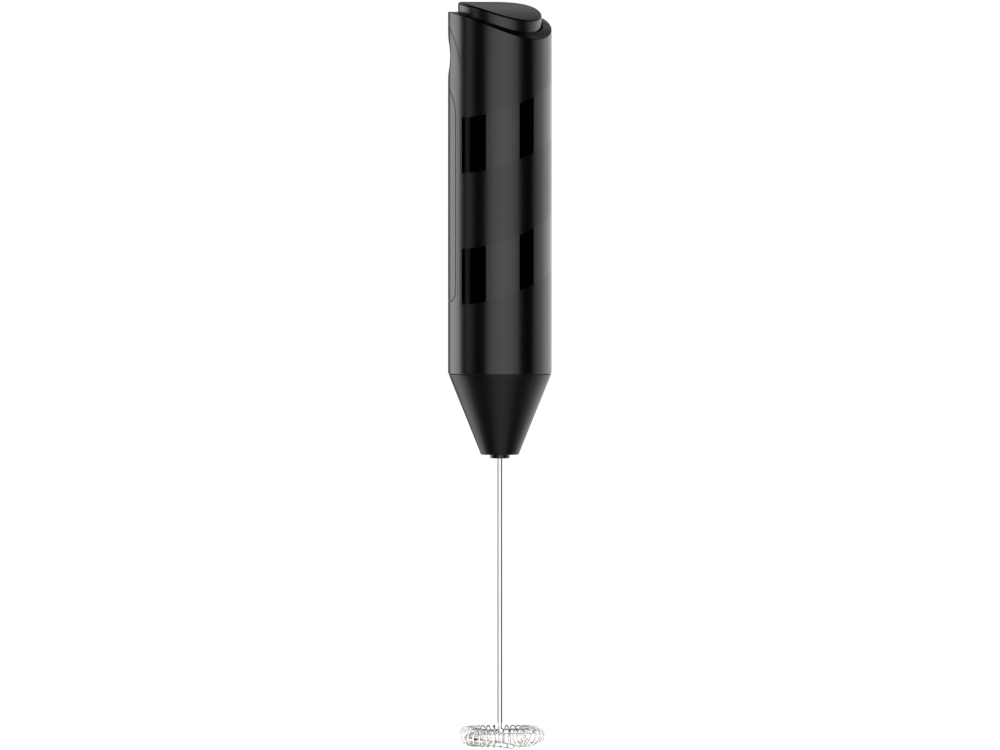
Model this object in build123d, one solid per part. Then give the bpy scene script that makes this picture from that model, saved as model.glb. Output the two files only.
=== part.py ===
from build123d import *
import os
from math import cos, radians, sin, sqrt

# Battery milk frother.  Millimetres, +Z along the handle towards the button, whisk pointing down.
# +Y is the battery-door side, -Y the middle of the front shell.  Z = 0 is the seam of barrel and nose.

# ---- driving dimensions: handle -------------------------------------------------------------------
BARREL_R = 15.5
WALL = 1.2
BORE_R = BARREL_R - WALL
SEAM_GAP = 0.12
SEAM_DEPTH = 0.35

# The rim is a slice of a large cylinder whose axis runs along X.
RIM_AXIS_Y = 10.0
RIM_AXIS_Z = 63.7
RIM_ARC_R = 44.6
RIM_BORE_R = 12.8
RIM_UNDERSIDE_Z = 97.5
RIM_EDGE_R = 0.3

# Joint line of the two shells, seen from the side.
SEAM_Y = 0.7
SEAM_BEND_Z = 89.4
SEAM_BEND_R = 18.0
SEAM_BEND_END = 126.0
SEAM_CROWN_R = 8.0
SEAM_BEND_Y = SEAM_Y + SEAM_BEND_R
SEAM_CROWN_Y = SEAM_BEND_Y + (SEAM_BEND_R - SEAM_CROWN_R) * cos(radians(SEAM_BEND_END))
SEAM_CROWN_Z = SEAM_BEND_Z + (SEAM_BEND_R - SEAM_CROWN_R) * sin(radians(SEAM_BEND_END))

# Thumb scoop: a torus that bites into the back shell.
SCOOP_MAJOR_R = 36.6
SCOOP_MINOR_R = 18.6
SCOOP_CENTRE_Y = -4.5
SCOOP_CENTRE_Z = 94.9
SCOOP_PAD_R = 11.9
SCOOP_PAD_Z = 87.0

# ---- battery door -----------------------------------------------------------------------------------
DOOR_GAP = 0.15
DOOR_EDGE_Y = 3.45
DOOR_BOTTOM_Z = 21.8
DOOR_CORNER_R = 3.2
DOOR_ARC_Y = 12.4
DOOR_ARC_Z = 77.2
DOOR_ARC_R = DOOR_ARC_Y - DOOR_EDGE_Y
DOOR_TOP_Z = DOOR_ARC_Z + DOOR_ARC_R
LEDGE_R = 12.9
LEDGE_LOW_Z = 20.3
LEDGE_HIGH_Z = 85.0
FOOT_HALF_WIDTH = 2.5
CLIP_HALF_WIDTH = 3.0
CLIP_Z = 79.4

# ---- nose and whisk ---------------------------------------------------------------------------------
NOSE_TOP_R = 15.4
NOSE_TIP_R = 5.66
NOSE_TIP_Z = -24.3
BUSH_R = 2.94
BUSH_BOTTOM_Z = -25.4
BUSH_TOP_Z = -22.3
SPIGOT_R = BORE_R - 0.1
SPIGOT_TOP_Z = 4.0
WIRE_R = 0.75
RUNNING_GAP = 0.05
RING_R = 9.9
RING_TOP_Z = -107.2
RING_END_Z = -109.8
SPOKE_ANGLE = -44.0
RING_STEPS = 12
RING_STEP_ANGLE = 24.0
COIL_Z = -108.4
COIL_TURN_R = 2.6
COIL_WIRE_R = 0.3
COIL_TURNS = 28

# ---- button and switch ------------------------------------------------------------------------------
BUTTON_R = 12.5
BUTTON_PROUD = 3.0
BUTTON_ROOF = 1.6
BUTTON_SKIRT_R = 11.1
BUTTON_TRAVEL = 1.5
BUTTON_EDGE_R = 0.8
BUTTON_BOTTOM_Z = 96.2
CATCH_R = 13.8
BUTTON_REAR_Z = SEAM_CROWN_Z + SEAM_CROWN_R + BUTTON_TRAVEL + 0.3
BOARD_Z = 84.0
BOARD_TOP_Z = 85.6
BOARD_R = 11.5
BOARD_POST_X = 8.6
BOARD_POST_Y = -4.0
HOUSING_HALF = 3.5
HOUSING_TOP_Z = 92.0
PLUNGER_R = 1.7
PLUNGER_BOTTOM_Z = 90.0
PLUNGER_TOP_Z = 95.5
SPRING_TOP_Z = 99.0
SPRING_R = 6.0

# ---- motor ------------------------------------------------------------------------------------------
MOTOR_R = 10.0
MOTOR_BOTTOM_Z = -7.0
MOTOR_TOP_Z = 15.0
MOTOR_CAP_Z = 17.2
BOSS_BOTTOM_Z = -8.4
FRONT_BEARING_R = 2.6
REAR_BEARING_R = 2.2
COMMUTATOR_R = 2.6
BRUSH_LOW_Z = 12.4
TERMINAL_X = 6.5
POLE_LOW_Z = -2.0
POLE_HIGH_Z = 9.0
CRADLE_LOW_Z = 5.0
CRADLE_TOP_Z = 14.5
SHAFT_R = 1.0
SHAFT_BOTTOM_Z = -15.4
SHAFT_TOP_Z = 18.2
COUPLER_R = 2.4
COUPLER_TOP_Z = -9.4
COUPLER_BOTTOM_Z = -21.8
COUPLER_STEP_Z = -15.6

# ---- cells and tray ---------------------------------------------------------------------------------
CELL_R = 7.0
CELL_X = 7.1
CELL_BOTTOM_Z = 25.4
CELL_LENGTH = 50.5
CELL_TOP_Z = CELL_BOTTOM_Z + CELL_LENGTH
NUB_R = 2.75
NUB_H = 1.2
TRAY_R = 12.6
TRAY_BOTTOM_Z = 20.6
TRAY_FLOOR_Z = 22.0
TRAY_TOP_Z = 77.4
TRAY_SHELF_Z = 79.0
TRAY_SCREW_X = 5.5
TRAY_SCREW_Z = 81.6
PLATE_T = 0.4
POSITIVE_PLATE_Z = 76.9
NEGATIVE_PLATE_Z = 77.0
SPINE_FRONT_Y = -9.0
SPINE_BACK_Y = -7.4
LEAD_R = 0.55
LEAD_X = 2.5
LEAD_Y = -10.6
SCREW_R = 0.9


# ---- small helpers ----------------------------------------------------------------------------------
def rod(radius, z0, z1, x=0.0, y=0.0):
    """Upright cylinder between two heights."""
    return Pos(x, y, (z0 + z1) / 2) * Cylinder(radius, z1 - z0)


def tube(outer, inner, z0, z1, x=0.0, y=0.0):
    """Upright tube between two heights."""
    return rod(outer, z0, z1, x, y) - rod(inner, z0 - 1, z1 + 1, x, y)


def block(x0, x1, y0, y1, z0, z1):
    """Box given by its two corners."""
    middle = Pos((x0 + x1) / 2, (y0 + y1) / 2, (z0 + z1) / 2)
    return middle * Box(x1 - x0, y1 - y0, z1 - z0)


def cone(r0, r1, z0, z1):
    """Upright cone frustum, r0 at z0 and r1 at z1."""
    return Pos(0, 0, (z0 + z1) / 2) * Cone(r0, r1, z1 - z0)


def cross_rod(radius, y0, y1, x, z):
    """Cylinder lying along Y."""
    return Pos(x, (y0 + y1) / 2, z) * Rot(90, 0, 0) * Cylinder(radius, y1 - y0)


def side_prism(outline):
    """Outline drawn in Y and Z, made a prism that runs right across the handle."""
    return extrude(Plane.YZ * make_face(outline), amount=BARREL_R + 4, both=True)


def corner_arc(centre_y, centre_z, radius, start, end):
    """Arc about a centre in the Y-Z outline, between two angles in degrees."""
    def point(angle):
        turn = radians(angle)
        return (centre_y + radius * cos(turn), centre_z + radius * sin(turn))
    return ThreePointArc(point(start), point((start + end) / 2), point(end))


def coil_rings(radii, z0, z1, wire_r, x=0.0):
    """A compression spring's turns as level rings, evenly spread between two heights."""
    step = (z1 - z0 - 2 * wire_r) / max(len(radii) - 1, 1)
    rings = []
    for turn, radius in enumerate(radii):
        rings.append(Pos(x, 0, z0 + wire_r + turn * step) * Torus(radius, wire_r))
    return Compound(children=rings)


def save(name, shape):
    """Write one piece under its own name."""
    export_step(shape, f"parts/{name}.step")


# ---- outlines shared by the handle's pieces ---------------------------------------------------------
def below_rim(arc_r, bottom_z):
    """Everything under a cylinder about the rim's axis, down to a level."""
    half = BARREL_R + 3

    def height(y):
        return RIM_AXIS_Z + sqrt(arc_r ** 2 - (y - RIM_AXIS_Y) ** 2)

    sides = Polyline((half, height(half)), (half, bottom_z), (-half, bottom_z), (-half, height(-half)))
    top = ThreePointArc((-half, height(-half)), (0, height(0)), (half, height(half)))
    return side_prism(sides + top)


def rear_region(grow=0.0):
    """The back shell's side of the joint line, with the line moved outwards by grow."""
    far = BARREL_R + 5
    top_z = SEAM_CROWN_Z + SEAM_CROWN_R + grow
    edge_y = SEAM_Y - grow
    sides = Polyline((SEAM_CROWN_Y, top_z), (far, top_z), (far, -1), (edge_y, -1), (edge_y, SEAM_BEND_Z))
    bend = corner_arc(SEAM_BEND_Y, SEAM_BEND_Z, SEAM_BEND_R + grow, 180, SEAM_BEND_END)
    crown = corner_arc(SEAM_CROWN_Y, SEAM_CROWN_Z, SEAM_CROWN_R + grow, SEAM_BEND_END, 90)
    return side_prism(sides + bend + crown)


def door_region(grow=0.0):
    """The battery door's outline from the side, moved outwards by grow."""
    far = BARREL_R + 5
    top_z = DOOR_TOP_Z + grow
    low_z = DOOR_BOTTOM_Z - grow
    edge_y = DOOR_EDGE_Y - grow
    corner_y = DOOR_EDGE_Y + DOOR_CORNER_R
    corner_z = DOOR_BOTTOM_Z + DOOR_CORNER_R
    right = Polyline((DOOR_ARC_Y, top_z), (far, top_z), (far, low_z), (corner_y, low_z))
    left = Line((edge_y, corner_z), (edge_y, DOOR_ARC_Z))
    foot = corner_arc(corner_y, corner_z, DOOR_CORNER_R + grow, 270, 180)
    head = corner_arc(DOOR_ARC_Y, DOOR_ARC_Z, DOOR_ARC_R + grow, 180, 90)
    return side_prism(right + foot + left + head)


def scoop():
    """The tool that hollows the thumb scoop."""
    return Pos(0, SCOOP_CENTRE_Y, SCOOP_CENTRE_Z) * Torus(SCOOP_MAJOR_R, SCOOP_MINOR_R)


def barrel_blank():
    """The whole barrel, solid, with its slanted rounded top and eased rim edge."""
    blank = rod(BARREL_R, 0, 115) & below_rim(RIM_ARC_R, 0)
    rim_edge = blank.edges().sort_by(Axis.Z)[-1:]
    return fillet(rim_edge, RIM_EDGE_R)


# ---- handle shells ----------------------------------------------------------------------------------
def front_shell():
    """Front half of the barrel with the complete rim ring and two tray bosses."""
    shell = barrel_blank() - rod(BORE_R, -1, RIM_UNDERSIDE_Z) - rod(RIM_BORE_R, -1, 115)
    shell = shell - rear_region() - scoop()
    joint_groove = rear_region(SEAM_GAP) - rod(BARREL_R - SEAM_DEPTH, -2, 115)
    shell = shell - joint_groove
    for x in (-TRAY_SCREW_X, TRAY_SCREW_X):
        boss = cross_rod(2.2, -14.6, SPINE_FRONT_Y, x, TRAY_SCREW_Z) & rod(BARREL_R - 0.4, 70, 95)
        shell = shell + (boss - cross_rod(SCREW_R, -12.4, SPINE_FRONT_Y + 1, x, TRAY_SCREW_Z))
    return shell


def back_shell():
    """Back half: door opening with ledges top and bottom, and the padded wall behind the scoop."""
    shell = barrel_blank() - rod(BORE_R, -1, SCOOP_PAD_Z) - rod(SCOOP_PAD_R, -1, 115)
    low_ledge = tube(BORE_R + 0.2, LEDGE_R, LEDGE_LOW_Z, LEDGE_LOW_Z + 2.7)
    high_ledge = tube(BORE_R + 0.2, LEDGE_R, LEDGE_HIGH_Z, SCOOP_PAD_Z)
    slot_half = FOOT_HALF_WIDTH + 0.8
    ledges = low_ledge + high_ledge - block(-slot_half, slot_half, 5, 16, 20, 24)
    shell = (shell + ledges) & rear_region()
    shell = shell - scoop()
    door_slot = door_region(DOOR_GAP) - rod(BORE_R - 0.1, -2, 115)
    return shell - door_slot


def battery_door():
    """Curved door, flush with the barrel, with a foot tab and a clip arm inside."""
    door = tube(BARREL_R, BORE_R, 0, 115) & door_region()
    foot_tab = block(-FOOT_HALF_WIDTH, FOOT_HALF_WIDTH, 12.9, 13.9, 20.2, 24.0)
    foot_root = block(-FOOT_HALF_WIDTH, FOOT_HALF_WIDTH, 13.5, 14.7, 22.1, 24.0)
    clip_arm = block(-CLIP_HALF_WIDTH, CLIP_HALF_WIDTH, 8.0, 14.5, CLIP_Z, CLIP_Z + 1.4)
    return door + foot_tab + foot_root + clip_arm


# ---- nose -------------------------------------------------------------------------------------------
def nose_cone():
    """Tapered motor cover with a spigot that plugs into the barrel."""
    outside = cone(NOSE_TIP_R, NOSE_TOP_R, NOSE_TIP_Z, 0)
    outside = outside + rod(SPIGOT_R, -0.5, SPIGOT_TOP_Z)
    cavity = cone(4.3, 13.0, -22.4, 0) + rod(13.0, -0.01, 5)
    return outside - cavity - rod(BUSH_R, -25, -20)


def nose_bushing():
    """Plain sleeve that the whisk shaft runs in; its lower end shows as the collar."""
    return tube(BUSH_R, WIRE_R + RUNNING_GAP, BUSH_BOTTOM_Z, BUSH_TOP_Z)


# ---- motor ------------------------------------------------------------------------------------------
def motor_can():
    """Drawn steel can with the front bearing boss."""
    can = rod(MOTOR_R, MOTOR_BOTTOM_Z, MOTOR_TOP_Z) + rod(3.4, BOSS_BOTTOM_Z, MOTOR_BOTTOM_Z)
    return can - rod(MOTOR_R - 0.4, MOTOR_BOTTOM_Z + 0.6, 16) - rod(FRONT_BEARING_R, -9, 0)


def motor_end_cap():
    """Moulded end cap that carries the rear bearing."""
    cap = rod(MOTOR_R, MOTOR_TOP_Z, MOTOR_CAP_Z) + rod(3.2, MOTOR_CAP_Z, SHAFT_TOP_Z)
    return cap - rod(REAR_BEARING_R, 14, 20)


def motor_magnets():
    """Two curved field magnets on the can's wall."""
    ring = tube(MOTOR_R - 0.45, 8.1, -4, 12)
    halves = [ring & block(-11, 11, 2.4, 11, -5, 13), ring & block(-11, 11, -11, -2.4, -5, 13)]
    return Compound(children=halves)


def motor_brushes():
    """Two brushes beside the commutator, hung from the end cap."""
    brushes = []
    for side in (-1, 1):
        inner, outer = sorted((side * (COMMUTATOR_R + 0.06), side * 6.0))
        arm_in, arm_out = sorted((side * 5.2, side * 6.0))
        arm = block(arm_in, arm_out, -1, 1, BRUSH_LOW_Z, MOTOR_TOP_Z)
        brushes.append(block(inner, outer, -1, 1, BRUSH_LOW_Z, BRUSH_LOW_Z + 1.4) + arm)
    return Compound(children=brushes)


def motor_terminals():
    """Two solder tabs on the end cap."""
    tabs = []
    for x in (-TERMINAL_X, TERMINAL_X):
        tabs.append(block(x - 0.25, x + 0.25, -1.2, 1.2, MOTOR_CAP_Z, MOTOR_CAP_Z + 3))
    return Compound(children=tabs)


def motor_cradle():
    """Sleeve with two flanges that centres the motor in the barrel."""
    inner = MOTOR_R + 0.03
    sleeve = tube(11.5, inner, CRADLE_LOW_Z, CRADLE_TOP_Z)
    for z in (CRADLE_LOW_Z, CRADLE_TOP_Z - 1.5):
        sleeve = sleeve + tube(BORE_R - 0.1, inner, z, z + 1.5)
    return sleeve


def armature_core():
    """Three-pole laminated core."""
    core = tube(2.4, SHAFT_R, POLE_LOW_Z, POLE_HIGH_Z)
    for pole in range(3):
        turn = Rot(0, 0, 120 * pole)
        core = core + turn * block(2.0, 6.6, -1.3, 1.3, POLE_LOW_Z, POLE_HIGH_Z)
        shoe = tube(7.6, 6.2, POLE_LOW_Z, POLE_HIGH_Z) & (turn * block(3.0, 9.0, -5.6, 5.6, -3, 10))
        core = core + shoe
    return core


def armature_windings():
    """One copper winding on each pole."""
    windings = []
    for pole in range(3):
        coil = block(2.9, 5.6, -2.3, 2.3, POLE_LOW_Z - 1.4, POLE_HIGH_Z + 1.4)
        coil = coil - block(2.0, 7.0, -1.35, 1.35, POLE_LOW_Z - 0.05, POLE_HIGH_Z + 0.05)
        windings.append(Rot(0, 0, 120 * pole) * coil)
    return Compound(children=windings)


def shaft_coupler():
    """Sleeve that grips the motor shaft above and the whisk wire below."""
    sleeve = rod(COUPLER_R, COUPLER_BOTTOM_Z, COUPLER_TOP_Z)
    return sleeve - rod(SHAFT_R, COUPLER_STEP_Z + 0.2, 0) - rod(WIRE_R, -30, COUPLER_STEP_Z)


# ---- whisk ------------------------------------------------------------------------------------------
def whisk_wire():
    """One wire: straight shaft, bent outwards, then round into the open ring that carries the coil."""
    vertex_r = RING_R / cos(radians(RING_STEP_ANGLE / 2))
    points = [(0, 0, COUPLER_STEP_Z), (0, 0, RING_TOP_Z)]
    for step in range(RING_STEPS + 1):
        turn = radians(SPOKE_ANGLE + step * RING_STEP_ANGLE)
        z = RING_TOP_Z + (RING_END_Z - RING_TOP_Z) * step / RING_STEPS
        points.append((vertex_r * cos(turn), vertex_r * sin(turn), z))
    radii = [2.0, 1.6] + [RING_R - 0.2] * (RING_STEPS - 1)
    path = FilletPolyline(*points, radius=radii)
    return sweep(Plane(origin=points[0], z_dir=(0, 0, -1)) * Circle(WIRE_R), path=path)


def whisk_coil():
    """The fine coil round the ring, turn by turn, open where the spoke comes through."""
    turns = []
    for turn in range(1, COIL_TURNS):
        angle = SPOKE_ANGLE + 360 * turn / COIL_TURNS
        place = Rot(0, 0, angle) * Pos(RING_R, 0, COIL_Z) * Rot(90, 0, 0)
        turns.append(place * Torus(COIL_TURN_R, COIL_WIRE_R))
    return Compound(children=turns)


# ---- battery tray and contacts ----------------------------------------------------------------------
def battery_tray():
    """Inner frame: spine, two ribs, a bulkhead at each end of the cells and two board posts."""
    tray = block(-9, 9, SPINE_FRONT_Y, SPINE_BACK_Y, TRAY_BOTTOM_Z, BOARD_Z)
    for x in (-5.0, 5.0):
        rib = block(x - 0.6, x + 0.6, -13.4, SPINE_FRONT_Y, TRAY_BOTTOM_Z, TRAY_TOP_Z)
        tray = tray + (rib & rod(BORE_R - 0.1, 15, 90))
    bulkheads = rod(TRAY_R, TRAY_BOTTOM_Z, TRAY_FLOOR_Z) + rod(TRAY_R, TRAY_TOP_Z, TRAY_SHELF_Z)
    tray = tray + bulkheads
    for side in (-1, 1):
        post = rod(2.1, TRAY_SHELF_Z, BOARD_Z, side * BOARD_POST_X, BOARD_POST_Y)
        tray = tray + (post - rod(SCREW_R, TRAY_SHELF_Z + 0.5, 90, side * BOARD_POST_X, BOARD_POST_Y))
        tray = tray - cross_rod(SCREW_R + 0.2, -12, 0, side * TRAY_SCREW_X, TRAY_SCREW_Z)
    tray = tray - block(-4, 4, -14, -9.3, 20, TRAY_FLOOR_Z + 1) - block(-4, 4, -14, -9.3, 77, 80)
    tray = tray - block(-3.6, 3.6, 10.4, 14, 20, TRAY_FLOOR_Z + 1)
    tray = tray - block(-5.2, -0.8, -10, -7, 76.6, TRAY_TOP_Z)
    return tray - block(9.9, 10.9, -1.8, 1.8, 77, 80)


def cell(side):
    """Penlight cell: side +1 has its nub up, side -1 its nub down."""
    x = side * CELL_X
    if side > 0:
        body_z, nub_z = (CELL_BOTTOM_Z, CELL_TOP_Z - NUB_H), (CELL_TOP_Z - NUB_H, CELL_TOP_Z)
    else:
        body_z, nub_z = (CELL_BOTTOM_Z + NUB_H, CELL_TOP_Z), (CELL_BOTTOM_Z, CELL_BOTTOM_Z + NUB_H)
    return rod(CELL_R, *body_z, x) + rod(NUB_R, *nub_z, x)


def bridge_contact():
    """Plate that joins the two cells at the bottom."""
    plate = block(-11, 11, -4, 4, TRAY_FLOOR_Z, TRAY_FLOOR_Z + PLATE_T)
    return plate + rod(2.0, TRAY_FLOOR_Z, CELL_BOTTOM_Z, -CELL_X)


def positive_contact():
    """Dimpled plate over the upright cell's nub, with a strip up to the board."""
    plate = block(3.4, 10.6, -3.6, 3.6, POSITIVE_PLATE_Z, TRAY_TOP_Z)
    dimple = rod(2.4, CELL_TOP_Z, POSITIVE_PLATE_Z + 0.1, CELL_X)
    return plate + dimple + block(10.6 - PLATE_T, 10.6, -1.5, 1.5, POSITIVE_PLATE_Z, BOARD_Z)


def negative_contact():
    """Plate over the other cell, with a solder tab that reaches through the spine."""
    plate = block(-10.6, -3.4, -3.6, 3.6, NEGATIVE_PLATE_Z, TRAY_TOP_Z)
    return plate + block(-4.4, -1.4, -11.2, -3.0, NEGATIVE_PLATE_Z, TRAY_TOP_Z)


# ---- switch and button ------------------------------------------------------------------------------
def switch_board():
    """Small round circuit board with two screw holes."""
    board = rod(BOARD_R, BOARD_Z, BOARD_TOP_Z)
    for x in (-BOARD_POST_X, BOARD_POST_X):
        board = board - rod(SCREW_R + 0.2, 80, 90, x, BOARD_POST_Y)
    return board


def switch_housing():
    """Push switch body with its plunger bore."""
    half = HOUSING_HALF
    body = block(-half, half, -half, half, BOARD_TOP_Z, HOUSING_TOP_Z)
    return body - rod(PLUNGER_R + RUNNING_GAP, PLUNGER_BOTTOM_Z - BUTTON_TRAVEL - 0.3, 93)


def board_screws():
    """Two pan-head screws that hold the board."""
    screws = []
    for x in (-BOARD_POST_X, BOARD_POST_X):
        head = rod(1.8, BOARD_TOP_Z, BOARD_TOP_Z + 1.2, x, BOARD_POST_Y)
        screws.append(head + rod(SCREW_R, 80.0, BOARD_TOP_Z, x, BOARD_POST_Y))
    return Compound(children=screws)


def tray_screws():
    """Two screws through the spine into the front shell's bosses."""
    screws = []
    for x in (-TRAY_SCREW_X, TRAY_SCREW_X):
        head = cross_rod(1.7, SPINE_BACK_Y, SPINE_BACK_Y + 1.2, x, TRAY_SCREW_Z)
        screws.append(head + cross_rod(SCREW_R, -12.0, SPINE_BACK_Y, x, TRAY_SCREW_Z))
    return Compound(children=screws)


def lead(side, top_z):
    """Insulated wire from a motor tab, forward and up the channel in front of the spine."""
    x = side * LEAD_X
    points = [
        (side * TERMINAL_X, -1.2 - LEAD_R, 18.9),
        (side * TERMINAL_X, -6.5, 18.9),
        (x, LEAD_Y, 19.4),
        (x, LEAD_Y, top_z),
    ]
    path = FilletPolyline(*points, radius=[2.0, 1.6])
    return sweep(Plane(origin=points[0], z_dir=(0, -1, 0)) * Circle(LEAD_R), path=path)


def power_button():
    """Round press cap whose top follows the rim's curve, with skirt, catch, stem and spring seat."""
    top = below_rim(RIM_ARC_R + BUTTON_PROUD, 90)
    roof_under = below_rim(RIM_ARC_R + BUTTON_PROUD - BUTTON_ROOF, 80)
    cap = rod(BUTTON_R, BUTTON_BOTTOM_Z, 115) & top
    cap = fillet(cap.edges().sort_by(Axis.Z)[-1:], BUTTON_EDGE_R)
    cap = cap - (rod(BUTTON_SKIRT_R, 90, 115) & roof_under)
    catch = tube(CATCH_R, BUTTON_SKIRT_R, BUTTON_BOTTOM_Z, RIM_UNDERSIDE_Z - 0.1)
    cap = cap + (catch - block(-15, 15, -1.5, 15, 90, 100))
    cap = cap - block(-15, 15, 0.2, 15, 90, BUTTON_REAR_Z)
    boss = tube(SPRING_R + 0.9, SPRING_R - 0.9, SPRING_TOP_Z, 115) & top
    stem = rod(2.0, PLUNGER_TOP_Z, 115) & top
    keep = rod(BUTTON_R - 1, 90, 115) & below_rim(RIM_ARC_R + BUTTON_PROUD - 0.6, 80)
    return cap + (boss & keep) + (stem & keep)


def main():
    """Write every piece."""
    os.makedirs("parts", exist_ok=True)
    pieces = {
        "front_shell": front_shell(),
        "back_shell": back_shell(),
        "battery_door": battery_door(),
        "nose_cone": nose_cone(),
        "nose_bushing": nose_bushing(),
        "motor_can": motor_can(),
        "motor_end_cap": motor_end_cap(),
        "motor_magnets": motor_magnets(),
        "motor_front_bearing": tube(FRONT_BEARING_R, SHAFT_R + RUNNING_GAP, BOSS_BOTTOM_Z, -6.4),
        "motor_rear_bearing": tube(REAR_BEARING_R, SHAFT_R + RUNNING_GAP, 15.4, SHAFT_TOP_Z),
        "motor_brushes": motor_brushes(),
        "motor_terminals": motor_terminals(),
        "motor_cradle": motor_cradle(),
        "motor_shaft": rod(SHAFT_R, SHAFT_BOTTOM_Z, SHAFT_TOP_Z),
        "armature_core": armature_core(),
        "armature_windings": armature_windings(),
        "commutator": tube(COMMUTATOR_R, SHAFT_R, 11.4, 14.6),
        "shaft_coupler": shaft_coupler(),
        "whisk_wire": whisk_wire(),
        "whisk_coil": whisk_coil(),
        "battery_tray": battery_tray(),
        "cell_a": cell(1),
        "cell_b": cell(-1),
        "bridge_contact": bridge_contact(),
        "bridge_spring": coil_rings([4.2, 3.6, 3.0], TRAY_FLOOR_Z + PLATE_T, CELL_BOTTOM_Z, 0.35, CELL_X),
        "positive_contact": positive_contact(),
        "negative_contact": negative_contact(),
        "negative_spring": coil_rings([4.2, 3.0], CELL_TOP_Z, NEGATIVE_PLATE_Z, 0.25, -CELL_X),
        "switch_board": switch_board(),
        "switch_housing": switch_housing(),
        "board_screws": board_screws(),
        "tray_screws": tray_screws(),
        "red_lead": lead(1, BOARD_Z),
        "black_lead": lead(-1, NEGATIVE_PLATE_Z),
        "power_button": power_button(),
        "switch_plunger": rod(PLUNGER_R, PLUNGER_BOTTOM_Z, PLUNGER_TOP_Z),
        "button_spring": coil_rings([SPRING_R] * 7, BOARD_TOP_Z, SPRING_TOP_Z, 0.4),
    }
    for name, shape in pieces.items():
        save(name, shape)


main()
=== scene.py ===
"""Looks of a battery milk frother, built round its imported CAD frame.

The handle's shells and door are rebuilt as fine wall panels with eased edges, the whisk and the
springs as real coils, and every other piece keeps its CAD shape and gets a procedural finish.
Sizes in this file are millimetres in the frame's own axes: +Z up the handle, +Y the battery door.
"""

import logging
import math
from dataclasses import dataclass, field
from enum import Enum
from typing import Callable, Iterable, Sequence

import bmesh
import bpy
from mathutils import Matrix, Vector

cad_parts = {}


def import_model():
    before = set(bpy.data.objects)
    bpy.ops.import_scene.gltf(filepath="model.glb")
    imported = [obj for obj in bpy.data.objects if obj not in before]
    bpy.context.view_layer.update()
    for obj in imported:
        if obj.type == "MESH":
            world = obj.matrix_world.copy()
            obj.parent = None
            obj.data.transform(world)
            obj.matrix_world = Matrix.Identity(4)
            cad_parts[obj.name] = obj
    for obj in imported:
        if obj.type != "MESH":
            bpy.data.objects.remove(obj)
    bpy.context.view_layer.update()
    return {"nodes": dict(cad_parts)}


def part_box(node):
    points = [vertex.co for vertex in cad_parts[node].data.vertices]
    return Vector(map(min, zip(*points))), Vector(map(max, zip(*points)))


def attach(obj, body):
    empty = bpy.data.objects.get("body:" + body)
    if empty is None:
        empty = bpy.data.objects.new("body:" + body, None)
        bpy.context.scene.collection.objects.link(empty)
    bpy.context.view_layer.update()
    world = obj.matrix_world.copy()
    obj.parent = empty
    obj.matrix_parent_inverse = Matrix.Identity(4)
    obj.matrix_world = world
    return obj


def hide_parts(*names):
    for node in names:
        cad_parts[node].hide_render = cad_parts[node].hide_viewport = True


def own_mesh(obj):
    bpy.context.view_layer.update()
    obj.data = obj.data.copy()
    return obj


LOG = logging.getLogger("frother")
MM = 0.001
TAU = 2 * math.pi

Point = tuple[float, float]
Point3 = tuple[float, float, float]
Block = tuple[float, float, float, float, float, float]
Solid = tuple[list[Point3], list[tuple[int, ...]]]
Paint = Sequence[float] | bpy.types.NodeSocket

CLOUD_SCALE = 60.0
CLOUD_ROUGHNESS = 0.04
GRAIN_MM = 0.25
GRAIN_DEPTH_MM = 0.002
CREASE_DEG = 35.0
CORNER_DEG = 50.0


# ---------------------------------------------------------------------------------------------------
# Shader maths
# ---------------------------------------------------------------------------------------------------
class Term:
    """A number socket in a node tree that takes part in Python arithmetic."""

    def __init__(self, graph: "Graph", socket: bpy.types.NodeSocket) -> None:
        """Keep the socket and the graph it belongs to."""
        self.graph = graph
        self.socket = socket

    def __add__(self, other: "Term | float") -> "Term":
        """Sum."""
        return self.graph.math("ADD", self, other)

    def __sub__(self, other: "Term | float") -> "Term":
        """Difference."""
        return self.graph.math("SUBTRACT", self, other)

    def __mul__(self, other: "Term | float") -> "Term":
        """Product."""
        return self.graph.math("MULTIPLY", self, other)

    def __truediv__(self, other: "Term | float") -> "Term":
        """Quotient."""
        return self.graph.math("DIVIDE", self, other)

    def __rsub__(self, other: float) -> "Term":
        """Difference with the number first."""
        return self.graph.math("SUBTRACT", other, self)

    __radd__ = __add__
    __rmul__ = __mul__


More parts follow.
